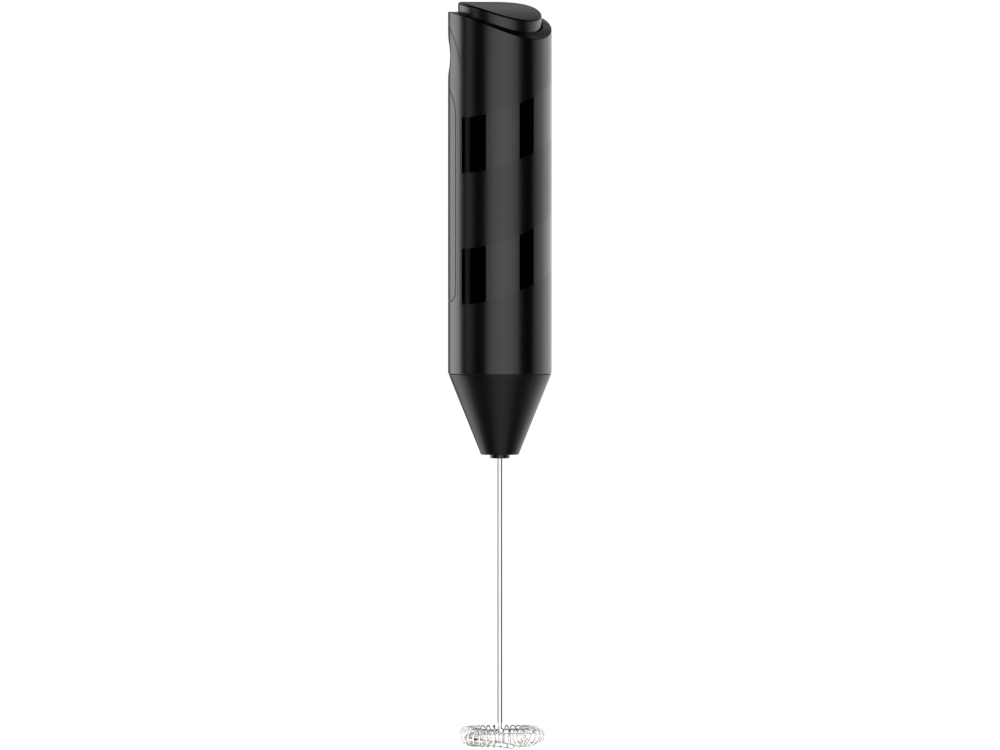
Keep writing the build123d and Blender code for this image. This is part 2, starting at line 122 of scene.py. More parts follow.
class Graph:
    """Builds one node tree from expressions."""

    def __init__(self, tree: bpy.types.NodeTree) -> None:
        """Start from an empty tree."""
        self.tree = tree
        tree.nodes.clear()

    def node(self, kind: str, settings: dict[str, object] | None = None,
             inputs: dict[str | int, object] | None = None) -> bpy.types.Node:
        """Add a node.

        Args:
            kind: the node's type name.
            settings: properties set before the sockets, such as an operation.
            inputs: socket name or number, to a value, a socket or a Term.

        Returns:
            The new node.
        """
        made = self.tree.nodes.new(kind)
        for name, value in (settings or {}).items():
            setattr(made, name, value)
        for key, value in (inputs or {}).items():
            if isinstance(value, Term):
                value = value.socket
            if isinstance(value, bpy.types.NodeSocket):
                self.tree.links.new(value, made.inputs[key])
            else:
                made.inputs[key].default_value = value
        return made

    def math(self, operation: str, *values: "Term | float") -> Term:
        """One Math node on up to three values."""
        made = self.node("ShaderNodeMath", {"operation": operation}, dict(enumerate(values)))
        return Term(self, made.outputs[0])

    def step(self, value: Term, low: float, high: float) -> Term:
        """Smooth step from 0 below low to 1 above high."""
        made = self.node("ShaderNodeMapRange", {"interpolation_type": "SMOOTHSTEP"},
                         {"Value": value, "From Min": low, "From Max": high})
        return Term(self, made.outputs["Result"])

    def window(self, value: Term, low: float, high: float, blur: float) -> Term:
        """1 between low and high, with edges blur wide, and 0 outside."""
        half = blur / 2
        return self.step(value, low - half, low + half) * (1 - self.step(value, high - half, high + half))

    def axes(self, vector: bpy.types.NodeSocket) -> tuple[Term, Term, Term]:
        """The three parts of a vector."""
        made = self.node("ShaderNodeSeparateXYZ", inputs={0: vector})
        return tuple(Term(self, made.outputs[k]) for k in range(3))

    def place(self) -> bpy.types.NodeSocket:
        """Object coordinates, in metres."""
        return self.node("ShaderNodeTexCoord").outputs["Object"]

    def stretched(self, scale: Point3) -> bpy.types.NodeSocket:
        """Object coordinates scaled by a factor along each axis."""
        made = self.node("ShaderNodeMapping", inputs={"Vector": self.place(), "Scale": scale})
        return made.outputs["Vector"]

    def noise(self, vector: bpy.types.NodeSocket, scale: float, detail: float = 2.0) -> Term:
        """Noise between 0 and 1."""
        made = self.node("ShaderNodeTexNoise", inputs={"Vector": vector, "Scale": scale, "Detail": detail})
        return Term(self, made.outputs["Fac"])

    def blend(self, factor: Term, first: Paint, second: Paint) -> bpy.types.NodeSocket:
        """Mix two colours, each of them three numbers or a socket, by a factor."""
        start, end = (paint if isinstance(paint, bpy.types.NodeSocket) else (*paint, 1.0)
                      for paint in (first, second))
        made = self.node("ShaderNodeMix", {"data_type": "RGBA"}, {"Factor": factor, 6: start, 7: end})
        return made.outputs[2]

    def bump(self, height: Term, depth: float, strength: float = 1.0) -> bpy.types.NodeSocket:
        """A normal from a height between 0 and 1 that stands for depth metres."""
        made = self.node("ShaderNodeBump", inputs={"Height": height, "Distance": depth, "Strength": strength})
        return made.outputs["Normal"]


def new_material(name: str, fixed: dict[str, object],
                 paint: Callable[[Graph], dict[str, object]]) -> bpy.types.Material:
    """Make a material with one Principled shader.

    Args:
        name: the material's name.
        fixed: values set on the shader's own sockets.
        paint: given the graph, returns sockets or Terms for the inputs that vary over the surface.

    Returns:
        The material.
    """
    material = bpy.data.materials.new(name)
    material.use_nodes = True
    graph = Graph(material.node_tree)
    shader = graph.node("ShaderNodeBsdfPrincipled", inputs={**fixed, **paint(graph)})
    graph.node("ShaderNodeOutputMaterial", inputs={"Surface": shader.outputs["BSDF"]})
    return material


# ---------------------------------------------------------------------------------------------------
# Finishes
# ---------------------------------------------------------------------------------------------------
@dataclass(frozen=True)
class MouldedPlastic:
    """Injection-moulded plastic with a spark-eroded grain."""

    name: str
    colour: Point3
    roughness: float = 0.3
    grain_mm: float = GRAIN_MM
    grain_depth_mm: float = GRAIN_DEPTH_MM
    mottle: float = 1.25
    specular: float = 0.5
    coat: float = 0.0

    def material(self) -> bpy.types.Material:
        """Build the material."""
        def paint(graph: Graph) -> dict[str, object]:
            """Faint clouds in the colour and shine, and the grain."""
            cloud = graph.noise(graph.place(), CLOUD_SCALE, 3.0)
            grain = graph.noise(graph.place(), 1.0 / (self.grain_mm * MM), 1.0)
            lighter = tuple(channel * self.mottle for channel in self.colour)
            return {
                "Base Color": graph.blend(cloud, self.colour, lighter),
                "Roughness": self.roughness - CLOUD_ROUGHNESS / 2 + cloud * CLOUD_ROUGHNESS,
                "Normal": graph.bump(grain, self.grain_depth_mm * MM),
            }
        fixed = {"Specular IOR Level": self.specular, "Coat Weight": self.coat}
        return new_material(self.name, fixed, paint)


@dataclass(frozen=True)
class BandedPlastic:
    """Satin plastic crossed by polished oblique bands, flush with it."""

    name: str
    colour: Point3
    satin_roughness: float
    gloss_roughness: float
    band_feet_mm: tuple[float, ...]
    band_height_mm: float
    rise: float
    edge_mm: float = 0.05
    gloss_share: float = 0.35

    def material(self) -> bpy.types.Material:
        """Build the material; a band's foot is its height on the axis plane, and rise its slope along X."""
        def paint(graph: Graph) -> dict[str, object]:
            """Satin between the bands, and no grain on them."""
            x, _, z = graph.axes(graph.place())
            level = (z - x * self.rise) / MM
            bands = None
            for foot in self.band_feet_mm:
                band = graph.window(level, foot, foot + self.band_height_mm, self.edge_mm)
                bands = band if bands is None else bands + band
            satin = 1 - bands
            cloud = graph.noise(graph.place(), CLOUD_SCALE, 3.0)
            grain = graph.noise(graph.place(), 1.0 / (GRAIN_MM * MM), 1.0)
            gloss_colour = tuple(channel * self.gloss_share for channel in self.colour)
            rough = self.satin_roughness - CLOUD_ROUGHNESS / 2 + cloud * CLOUD_ROUGHNESS
            return {
                "Base Color": graph.blend(satin, gloss_colour, self.colour),
                "Roughness": rough * satin + self.gloss_roughness * bands,
                "Normal": graph.bump(grain * satin, GRAIN_DEPTH_MM * MM),
            }
        return new_material(self.name, {"Specular IOR Level": 0.5}, paint)


@dataclass(frozen=True)
class Metal:
    """Bare metal with fine drawing lines along one axis, and painted shade where its surface turns away from
    the view.
    """

    name: str
    colour: Point3
    roughness: float
    line_scale: Point3 = (3000.0, 3000.0, 150.0)
    line_depth_mm: float = 0.001
    painted_shade_share: float = 1.0
    painted_shade_band: Point = (0.25, 0.6)
    painted_shade_above_mm: float | None = None
    painted_shade_fade_mm: float = 1.0
    line_share: float = 0.9

    def material(self) -> bpy.types.Material:
        """Build the material."""
        def paint(graph: Graph) -> dict[str, object]:
            """Drawing lines, and painted shade: a darker base colour where the surface turns away from the
            view.
            """
            lines = graph.noise(graph.stretched(self.line_scale), 1.0, 2.0)
            darker = tuple(channel * self.line_share for channel in self.colour)
            drawn = graph.blend(lines, darker, self.colour)
            # Painted shade: the facing term darkens the base colour towards the edges seen from the view, in
            # place of dark reflections there; the share below sets how dark.
            facing = Term(graph, graph.node("ShaderNodeLayerWeight").outputs["Facing"])
            rim = graph.step(facing, *self.painted_shade_band)
            if self.painted_shade_above_mm is not None:
                level = graph.axes(graph.place())[2] / MM
                low, high = self.painted_shade_above_mm - self.painted_shade_fade_mm, self.painted_shade_above_mm + self.painted_shade_fade_mm
                rim = rim * graph.step(level, low, high)
            edge = tuple(channel * self.painted_shade_share for channel in self.colour)
            return {
                "Base Color": graph.blend(rim, drawn, edge),
                "Roughness": self.roughness * 0.85 + lines * (self.roughness * 0.3),
                "Normal": graph.bump(lines, self.line_depth_mm * MM),
            }
        return new_material(self.name, {"Metallic": 1.0}, paint)


@dataclass(frozen=True)
class CellSleeve:
    """Printed sleeve of a plain cell: a coloured shoulder over a dark body, bare metal at the ends."""

    name: str
    low_mm: float
    high_mm: float
    shoulder_up: bool
    body: Point3 = (0.03, 0.03, 0.035)
    shoulder: Point3 = (0.62, 0.36, 0.12)
    bare: Point3 = (0.75, 0.75, 0.74)
    shoulder_mm: float = 15.0
    edge_mm: float = 0.1

    def material(self) -> bpy.types.Material:
        """Build the material."""
        def paint(graph: Graph) -> dict[str, object]:
            """The print, and bare metal past its ends."""
            _, _, z = graph.axes(graph.place())
            level = z / MM
            sleeve = graph.window(level, self.low_mm, self.high_mm, self.edge_mm)
            split = self.high_mm - self.shoulder_mm if self.shoulder_up else self.low_mm + self.shoulder_mm
            above = graph.step(level, split - self.edge_mm, split + self.edge_mm)
            gold = above if self.shoulder_up else 1 - above
            print_colour = graph.blend(gold, self.body, self.shoulder)
            colour = graph.blend(sleeve, self.bare, print_colour)
            scuff = graph.noise(graph.stretched((400.0, 400.0, 120.0)), 1.0, 3.0)
            return {"Base Color": colour, "Metallic": 1 - sleeve * 0.6, "Roughness": 0.24 + scuff * 0.12}
        return new_material(self.name, {}, paint)


@dataclass(frozen=True)
class Laminate:
    """Green board with copper runs under the solder mask."""

    name: str
    mask: Point3 = (0.01, 0.09, 0.03)
    copper: Point3 = (0.03, 0.17, 0.06)
    pitch_mm: float = 1.6

    def material(self) -> bpy.types.Material:
        """Build the material."""
        def paint(graph: Graph) -> dict[str, object]:
            """Slanting copper runs, raised a little."""
            x, y, _ = graph.axes(graph.place())
            across = graph.math("PINGPONG", (x + y * 0.5) / (self.pitch_mm * MM), 0.5)
            runs = graph.step(across, 0.2, 0.24)
            return {
                "Base Color": graph.blend(runs, self.mask, self.copper),
                "Roughness": 0.35 + graph.noise(graph.place(), 900.0) * 0.1,
                "Normal": graph.bump(runs, 0.03 * MM),
            }
        return new_material(self.name, {}, paint)


class Colour(Enum):
    """Base colours that several pieces share."""

    SATIN_BLACK = (0.0012, 0.0012, 0.0013)
    NOSE_BLACK = (0.0015, 0.0015, 0.0016)
    BUTTON_BLACK = (0.0022, 0.0022, 0.0023)
    INNER_BLACK = (0.02, 0.02, 0.02)
    NYLON = (0.72, 0.71, 0.66)
    STEEL = (0.62, 0.62, 0.61)
    CORE_STEEL = (0.3, 0.3, 0.31)
    NICKEL = (0.72, 0.69, 0.62)
    BRONZE = (0.5, 0.33, 0.14)
    COPPER = (0.7, 0.28, 0.12)
    FERRITE = (0.06, 0.06, 0.065)
    RED = (0.45, 0.01, 0.01)


# ---------------------------------------------------------------------------------------------------
# Mesh helpers
# ---------------------------------------------------------------------------------------------------
def mesh_object(name: str, points: Sequence[Point3], faces: Sequence[Sequence[int]],
                smooth_deg: float = CREASE_DEG) -> bpy.types.Object:
    """Make a smooth-shaded mesh object from points in millimetres.

    Args:
        name: the object's name.
        points: the vertices.
        faces: vertex numbers of each face, anticlockwise seen from outside.
        smooth_deg: edges sharper than this stay crisp.

    Returns:
        The object, linked to the scene.
    """
    mesh = bpy.data.meshes.new(name)
    mesh.from_pydata([tuple(c * MM for c in p) for p in points], [], faces)
    mesh.validate()
    mesh.shade_smooth()
    mesh.set_sharp_from_angle(angle=math.radians(smooth_deg))
    made = bpy.data.objects.new(name, mesh)
    bpy.context.scene.collection.objects.link(made)
    return made


def dress(piece: bpy.types.Object, material: bpy.types.Material) -> None:
    """Give a piece one material."""
    piece.data.materials.clear()
    piece.data.materials.append(material)


def stand_for(piece: bpy.types.Object, body: str, node: str) -> bpy.types.Object:
    """Let a piece ride on a body in place of a CAD node."""
    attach(piece, body)
    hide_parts(node)
    LOG.info("%s: %d faces, rides on %s", piece.name, len(piece.data.polygons), body)
    return piece


def lathed(name: str, outline: Sequence[Point], sides: int = 128) -> bpy.types.Object:
    """Turn a closed outline about the axis.

    Args:
        name: the object's name.
        outline: (radius, height) points, up the outside and back down the inside.
        sides: steps round the axis.

    Returns:
        The closed piece.
    """
    turns = [TAU * k / sides for k in range(sides)]
    points = [(r * math.cos(t), r * math.sin(t), z) for t in turns for r, z in outline]
    count = len(outline)
    faces = []
    for k in range(sides):
        here, there = k * count, (k + 1) % sides * count
        for low in range(count):
            high = (low + 1) % count
            faces.append((here + low, there + low, there + high, here + high))
    return mesh_object(name, points, faces)


def box_solid(block: Block) -> Solid:
    """Corners and faces of an upright box."""
    x0, x1, y0, y1, z0, z1 = block
    points = [(x, y, z) for z in (z0, z1) for x, y in ((x0, y0), (x1, y0), (x1, y1), (x0, y1))]
    sides = [(k, (k + 1) % 4, (k + 1) % 4 + 4, k + 4) for k in range(4)]
    return points, [(3, 2, 1, 0), (4, 5, 6, 7), *sides]


def ledge_solid(profile: Sequence[Point], start_deg: float, end_deg: float, steps: int = 40) -> Solid:
    """Corners and faces of a ledge that runs round the axis.

    Args:
        profile: its section, as (radius, height) corners in order.
        start_deg: where it starts, as an angle from +X.
        end_deg: where it ends.
        steps: divisions along it.

    Returns:
        The points and faces of the closed solid.
    """
    points: list[Point3] = []
    for k in range(steps + 1):
        turn = math.radians(start_deg + (end_deg - start_deg) * k / steps)
        points.extend((radius * math.cos(turn), radius * math.sin(turn), z) for radius, z in profile)
    count = len(profile)
    faces: list[tuple[int, ...]] = [tuple(range(count)), tuple(count * steps + k for k in range(count))]
    for k in range(steps):
        for corner in range(count):
            here, following = count * k + corner, count * k + (corner + 1) % count
            faces.append((here, here + count, following + count, following))
    return points, faces


def add_solid(piece: bpy.types.Object, solid: Solid, ease: float = 0.08) -> None:
    """Mould a closed solid with eased edges onto a piece.

    Args:
        piece: the object whose mesh takes it in.
        solid: the solid's corners and faces.
        ease: width of the bevel along its sharp edges.
    """
    part = bmesh.new()
    corners = [part.verts.new(tuple(c * MM for c in point)) for point in solid[0]]
    for face in solid[1]:
        part.faces.new([corners[k] for k in face])
    bmesh.ops.recalc_face_normals(part, faces=part.faces)
    crisp = [edge for edge in part.edges if edge.calc_face_angle() > math.radians(CORNER_DEG)]
    bmesh.ops.bevel(part, geom=crisp, offset=ease * MM, segments=2, profile=0.5, affect="EDGES")
    extra = bpy.data.meshes.new("extra")
    part.to_mesh(extra)
    part.clear()
    part.from_mesh(piece.data)
    part.from_mesh(extra)
    part.to_mesh(piece.data)
    part.free()
    bpy.data.meshes.remove(extra)
    piece.data.shade_smooth()
    piece.data.set_sharp_from_angle(angle=math.radians(CREASE_DEG))


def line(start: Point, end: Point, steps: int) -> list[Point]:
    """Points from start to end, both included."""
    return [(start[0] + (end[0] - start[0]) * k / steps, start[1] + (end[1] - start[1]) * k / steps)
            for k in range(steps + 1)]


def arc(centre: Point, radius: float, start_deg: float, end_deg: float, steps: int) -> list[Point]:
    """Points along an arc in the side view, both ends included."""
    turns = [math.radians(start_deg + (end_deg - start_deg) * k / steps) for k in range(steps + 1)]
    return [(centre[0] + radius * math.cos(t), centre[1] + radius * math.sin(t)) for t in turns]


def joined(*paths: Sequence[Point]) -> list[Point]:
    """Paths end to end, with each shared point kept once."""
    whole = list(paths[0])
    for path in paths[1:]:
        whole.extend(path[1:])
    return whole


def resampled(path: Sequence[Point], steps: int) -> list[Point]:
    """The same path with evenly spaced points."""
    lengths = [0.0]
    for a, b in zip(path, path[1:]):
        lengths.append(lengths[-1] + math.dist(a, b))
    result = []
    k = 0
    for n in range(steps + 1):
        want = lengths[-1] * n / steps
        while k < len(path) - 2 and lengths[k + 1] < want:
            k += 1
        share = (want - lengths[k]) / max(lengths[k + 1] - lengths[k], 1e-9)
        share = min(max(share, 0.0), 1.0)
        result.append((path[k][0] + (path[k + 1][0] - path[k][0]) * share,
                       path[k][1] + (path[k + 1][1] - path[k][1]) * share))
    return result


# ---------------------------------------------------------------------------------------------------
# The barrel's form
# ---------------------------------------------------------------------------------------------------
@dataclass(frozen=True)
class BarrelForm:
    """Sizes that the shells, the door and the rim share."""

    radius: float = 15.5
    wall: float = 1.2
    rim_axis_y: float = 10.0
    rim_axis_z: float = 63.7
    rim_arc: float = 44.6
    rim_bore: float = 12.8
    rim_underside_z: float = 97.5
    seam_y: float = 0.7
    seam_bend: float = 18.0
    seam_bend_z: float = 89.4
    seam_bend_end_deg: float = 126.0
    seam_crown: float = 8.0
    door_edge_y: float = 3.45
    door_bottom_z: float = 21.8
    door_corner: float = 3.2
    door_arc_y: float = 12.4
    door_arc_z: float = 77.2
    scoop_major: float = 36.6
    scoop_minor: float = 18.6
    scoop_y: float = -4.5
    scoop_z: float = 94.9
    scoop_blend: float = 0.3

    def seam_upper(self, grow: float) -> list[Point]:
        """The joint line's upper bend and crown, moved outwards by grow, as side-view points."""
        end = math.radians(self.seam_bend_end_deg)
        bend = (self.seam_y + self.seam_bend, self.seam_bend_z)
        step = self.seam_bend - self.seam_crown
        crown = (bend[0] + step * math.cos(end), bend[1] + step * math.sin(end))
        return joined(arc(bend, self.seam_bend + grow, 180, self.seam_bend_end_deg, 60),
                      arc(crown, self.seam_crown + grow, self.seam_bend_end_deg, 90, 20))

    @property
    def door_arc(self) -> float:
        """Radius of the door's upper bend."""
        return self.door_arc_y - self.door_edge_y

    def rim_height(self, y: float) -> float:
        """Height of the rim surface at a depth y."""
        return self.rim_axis_z + math.sqrt(self.rim_arc ** 2 - (y - self.rim_axis_y) ** 2)

    def unrolled(self, side: Point) -> Point:
        """A side-view point (y, z) on the +X half as (arc length from the front's middle, z)."""
        share = min(max(-side[0] / self.radius, -1.0), 1.0)
        return (self.radius * math.acos(share), side[1])

    def scoop_depth_radius(self, angle: float, z: float) -> float:
        """Outer radius of the wall at an angle from the front's middle, with the thumb scoop."""
        rise = self.scoop_minor ** 2 - (z - self.scoop_z) ** 2
        if rise <= 0:
            return self.radius
        reach = self.scoop_major - math.sqrt(rise)
        inside = reach ** 2 - (self.scoop_y * math.sin(angle)) ** 2
        cut = -self.scoop_y * math.cos(angle) + math.sqrt(max(inside, 0.0))
        share = min(max(0.5 + 0.5 * (cut - self.radius) / self.scoop_blend, 0.0), 1.0)
        smooth = cut + (self.radius - cut) * share
        return smooth - self.scoop_blend * share * (1 - share)


@dataclass
class WallPanel:
    """A closed piece of barrel wall, laid out flat as quads and then wrapped round the axis.

    Patches are grids of (arc length, height). Every free edge gets an eased lip and a side wall.
    """

    form: BarrelForm
    ease: float = 0.14
    ease_steps: int = 3
    support: float = 0.06
    ease_of: Callable[[Point], float] | None = None
    outer_radius: Callable[[float, float], float] | None = None
    inner_point: Callable[[float, float], Point] | None = None
    flat: list[Point] = field(default_factory=list)
    quads: list[tuple[int, int, int, int]] = field(default_factory=list)
    index: dict[tuple[int, int], int] = field(default_factory=dict)

    def _vertex(self, point: Point) -> int:
        """Number of a flat point, shared by the patches that touch there."""
        turn = TAU * self.form.radius
        key = (round((point[0] % turn) * 1000) % round(turn * 1000), round(point[1] * 1000))
        if key not in self.index:
            self.index[key] = len(self.flat)
            self.flat.append(point)
        return self.index[key]

    def add_patch(self, rows: Sequence[Sequence[Point]], flip: bool = False) -> None:
        """Add a grid of quads; flip is for a grid whose rows run the other way round."""
        numbers = [[self._vertex(p) for p in row] for row in rows]
        for low, high in zip(numbers, numbers[1:]):
            for k in range(len(low) - 1):
                quad = (low[k], low[k + 1], high[k + 1], high[k])
                if len(set(quad)) == 4:
                    self.quads.append(quad[::-1] if flip else quad)

    def add_mirrored(self, rows: Sequence[Sequence[Point]], flip: bool = False) -> None:
        """Add a patch and its mirror image across the plane X = 0."""
        self.add_patch(rows, flip)
        self.add_patch([[(-p[0], p[1]) for p in row] for row in rows], not flip)

    def _flat_step(self, start: Point, end: Point) -> Point:
        """Shortest step between two flat points, across the wrap if need be."""
        turn = TAU * self.form.radius
        across = (end[0] - start[0] + turn / 2) % turn - turn / 2
        return (across, end[1] - start[1])

    def _edges(self) -> dict[int, int]:
        """Free edges, as start vertex to end vertex in face order."""
        used = {(q[k], q[(k + 1) % 4]) for q in self.quads for k in range(4)}
        return {a: b for a, b in used if (b, a) not in used}

    def _outward(self, following: dict[int, int]) -> dict[int, Point]:
        """Mitred direction out of the panel at each free vertex."""
        before = {b: a for a, b in following.items()}
        result = {}
        for vertex, after in following.items():
            normals = []
            for a, b in ((before[vertex], vertex), (vertex, after)):
                step = self._flat_step(self.flat[a], self.flat[b])
                size = math.hypot(*step) or 1.0
                normals.append((step[1] / size, -step[0] / size))
            total = (normals[0][0] + normals[1][0], normals[0][1] + normals[1][1])
            scale = 2.0 / max(total[0] ** 2 + total[1] ** 2, 0.5)
            result[vertex] = (total[0] * scale, total[1] * scale)
        return result

    def _wrap(self, point: Point, radius: float) -> Point3:
        """A flat point brought round the axis at a radius."""
        angle = point[0] / self.form.radius
        return (radius * math.sin(angle), -radius * math.cos(angle), point[1])

    def build(self, name: str) -> bpy.types.Object:
        """Wrap the panel and close it.

        Args:
            name: the object's name.

        Returns:
            The finished object.
        """
        following = self._edges()
        outward = self._outward(following)
        count = len(self.flat)
        outer_of = self.outer_radius or (lambda angle, z: self.form.radius)
        inner_of = self.inner_point or (lambda angle, z: (self.form.radius - self.form.wall, z))
        points: list[Point3] = []
        inner: list[Point3] = []

        def outer_at(flat: Point, sink: float) -> Point3:
            """A point on the outer face, sunk by an amount."""
            return self._wrap(flat, outer_of(flat[0] / self.form.radius, flat[1]) - sink)

        def inner_at(flat: Point, lift: float) -> Point3:
            """A point on the inner face, lifted outwards by an amount."""
            radius, z = inner_of(flat[0] / self.form.radius, flat[1])
            return self._wrap((flat[0], z), radius + lift)

        def eased(vertex: int, inset: float) -> Point:
            """A vertex drawn in from the panel's edge."""
            flat, out = self.flat[vertex], outward.get(vertex, (0.0, 0.0))
            return (flat[0] - out[0] * inset, flat[1] - out[1] * inset)

        eases = [self.ease_of(flat) if self.ease_of else self.ease for flat in self.flat]
        for vertex, ease in enumerate(eases):
            points.append(outer_at(eased(vertex, ease + self.support), 0.0))
            inner.append(inner_at(eased(vertex, ease + self.support), 0.0))
        points.extend(inner)
        faces: list[tuple[int, ...]] = [tuple(q) for q in self.quads]
        faces += [tuple(count + v for v in reversed(q)) for q in self.quads]
        rings: dict[int, list[int]] = {}
        for vertex in following:
            chain = [vertex]
            ease = eases[vertex]
            steps = range(self.ease_steps + 1)
            for side, order in ((outer_at, steps), (inner_at, reversed(steps))):
                for k in order:
                    turn = math.pi / 2 * k / self.ease_steps
                    chain.append(len(points))
                    place = eased(vertex, ease * (1 - math.sin(turn)))
                    points.append(side(place, ease * (1 - math.cos(turn))))
            chain.append(count + vertex)
            rings[vertex] = chain
        for a, b in following.items():
            for k in range(len(rings[a]) - 1):
                faces.append((rings[b][k], rings[a][k], rings[a][k + 1], rings[b][k + 1]))
        return mesh_object(name, points, faces)


# ---------------------------------------------------------------------------------------------------
# Nose
# ---------------------------------------------------------------------------------------------------
@dataclass(frozen=True)
class NoseForm:
    """The tapered cover, with the shadow groove between it and the barrel."""

    top_radius: float = 15.4
    tip_radius: float = 5.66
    tip_z: float = -24.3
    shoulder_z: float = -0.12
    shoulder_edge: float = 0.2
    tip_edge: float = 0.35
    groove_radius: float = 14.75
    spigot_radius: float = 14.2
    spigot_top_z: float = 4.0
    cavity_top_radius: float = 13.0
    cavity_tip_radius: float = 4.3
    cavity_tip_z: float = -22.4
    bore_radius: float = 2.94

    def outline(self) -> list[Point]:
        """Up the outside, over the spigot and down the cavity, with eased corners."""
        turn = math.atan2(self.top_radius - self.tip_radius, -self.tip_z)
        lean, slope = math.degrees(turn), math.tan(turn)
        tip = self.tip_edge
        foot_r = self.tip_radius - tip * (math.cos(turn) - slope * (1 - math.sin(turn)))
        foot = arc((foot_r, self.tip_z + tip), tip, -90, -lean, 6)
        edge = self.shoulder_edge
        shoulder_r = self.top_radius + slope * (self.shoulder_z - edge) - edge * math.cos(turn)
        shoulder = arc((shoulder_r, self.shoulder_z - edge), edge, -lean, 90, 6)
        side = line(foot[-1], shoulder[0], 40)
        return joined(foot, side, shoulder) + [
            (self.groove_radius, self.shoulder_z), (self.groove_radius, 0.0), (self.spigot_radius, 0.0),
            (self.spigot_radius, self.spigot_top_z), (self.cavity_top_radius, self.spigot_top_z),
            (self.cavity_top_radius, 0.0), (self.cavity_tip_radius, self.cavity_tip_z),
            (self.bore_radius, self.cavity_tip_z), (self.bore_radius, self.tip_z),
        ]

    def build(self) -> bpy.types.Object:
        """Turn the outline into the cover."""
        return lathed("nose_cone_skin", self.outline())


# ---------------------------------------------------------------------------------------------------
# Handle
# ---------------------------------------------------------------------------------------------------
@dataclass
class Handle:
    """The two shells, the battery door, the nose and its bushing."""

    form: BarrelForm = field(default_factory=BarrelForm)
    front_edge_deg: float = 88.0
    front_columns: int = 88
    low_rows: int = 22
    bend_columns: int = 26
    back_columns: int = 16
    strip_cells: int = 3
    ring_cells: int = 12
    outline_steps: tuple[int, ...] = (24, 8, 20, 24, 16)
    seam_ease: float = 0.14
    rim_ease: float = 0.3
    seam_gap: float = 0.06
    door_gap: float = 0.13
    ledge_radius: float = 12.9
    low_ledge: Point = (20.3, 23.0)
    high_ledge: Point = (85.0, 87.0)
    ledge_end_deg: float = 4.0
    ledge_clearance: float = 0.1
    ledge_root: float = 0.1
    ledge_shoulder: float = 0.35
    ring_step: float = 0.15
    step_shares: Point = (0.3, 0.4)
    pad_gap: float = 0.6
    pad_depth: float = 2.4
    core_levels: Point = (27.0, 76.0)
    core_y: float = 5.8
    core_columns: int = 28
    core_rows: int = 36
    frame_cells: int = 4
    foot_slot: float = 3.3
    clip_arm: Block = (-3.0, 3.0, 8.0, 14.5, 79.4, 80.8)
    foot_tab: Block = (-2.5, 2.5, 12.9, 13.9, 20.2, 24.0)
    foot_root: Block = (-2.5, 2.5, 13.5, 14.7, 22.1, 24.0)
    band_feet: tuple[float, float] = (27.43, 66.66)
    band_height: float = 16.66
    band_rise: float = 0.422
    satin_roughness: float = 0.25
    gloss_roughness: float = 0.035
    nose: NoseForm = field(default_factory=NoseForm)

    def door_outline(self, grow: float) -> list[list[Point]]:
        """Half of the door's outline, from the middle of its foot round to the middle of its head.

        Args:
            grow: how far the line is moved outwards.

        Returns:
            Five stretches of side-view points: foot, corner, side, upper bend, head.
        """
        f = self.form
        low = f.door_bottom_z - grow
        edge = f.door_edge_y - grow
        corner = (f.door_edge_y + f.door_corner, f.door_bottom_z + f.door_corner)
        bend = (f.door_arc_y, f.door_arc_z)
        top = f.door_arc_z + f.door_arc + grow
        foot_steps, corner_steps, side_steps, bend_steps, head_steps = self.outline_steps
        return [
            self._level(f.radius, corner[0], low, foot_steps),
            arc(corner, f.door_corner + grow, 270, 180, corner_steps),
            line((edge, corner[1]), (edge, bend[1]), side_steps),
            arc(bend, f.door_arc + grow, 180, 90, bend_steps),
            self._level(bend[0], f.radius, top, head_steps),
        ]

    def _level(self, start_y: float, end_y: float, z: float, steps: int) -> list[Point]:
        """Side-view points at one height, evenly spaced round the barrel."""
        r = self.form.radius
        first, last = (math.acos(min(max(-y / r, -1.0), 1.0)) for y in (start_y, end_y))
        return [(-r * math.cos(first + (last - first) * k / steps), z) for k in range(steps + 1)]

    def _flat(self, path: Iterable[Point]) -> list[Point]:
        """A side-view path laid out flat."""
        return [self.form.unrolled(p) for p in path]

    @staticmethod
    def _between(first: Sequence[Point], second: Sequence[Point], cells: int) -> list[list[Point]]:
        """Rows of points that go from one path to another of the same length."""
        return [[(a[0] + (b[0] - a[0]) * k / cells, a[1] + (b[1] - a[1]) * k / cells)
                 for a, b in zip(first, second)] for k in range(cells + 1)]

    def _up_to_rim(self, foot: Sequence[Point]) -> list[list[Point]]:
        """Rows of points from a line of flat points up to the rim, with two rows at the ring's step."""
        r, underside = self.form.radius, self.form.rim_underside_z
        low_share, high_share = self.step_shares
        columns = []
        for x, z in foot:
            top = self.form.rim_height(-r * math.cos(x / r))
            low = max(underside, z + low_share * (top - z))
            high = max(underside + self.ring_step, z + high_share * (top - z))
            heights = (z, (z + low) / 2, low, high, (high + top) / 2, top)
            columns.append([(x, height) for height in heights])
        return [list(row) for row in zip(*columns)]

    def _front_inner(self, angle: float, z: float) -> Point:
        """Inner face of the front shell: plain wall below, thick ring with a slanted top at the rim."""
        f = self.form
        top = f.rim_height(-f.radius * math.cos(angle))
        plain = f.radius - f.wall
        thick = min(max((z - f.rim_underside_z) / self.ring_step, 0.0), 1.0)
        radius = plain + (f.rim_bore - plain) * thick
        share = min(max((z - f.rim_underside_z) / (top - f.rim_underside_z), 0.0), 1.0)
        lift = f.rim_height(-radius * math.cos(angle)) - top
        return (radius, z + lift * share)

    def front_shell(self) -> bpy.types.Object:
        """Front shell with the complete rim ring."""
        f = self.form

        def ease_of(flat: Point) -> float:
            """A wide ease along the rim and a narrow one elsewhere."""
            top = f.rim_height(-f.radius * math.cos(flat[0] / f.radius))
            return self.rim_ease if flat[1] > top - 0.01 else self.seam_ease

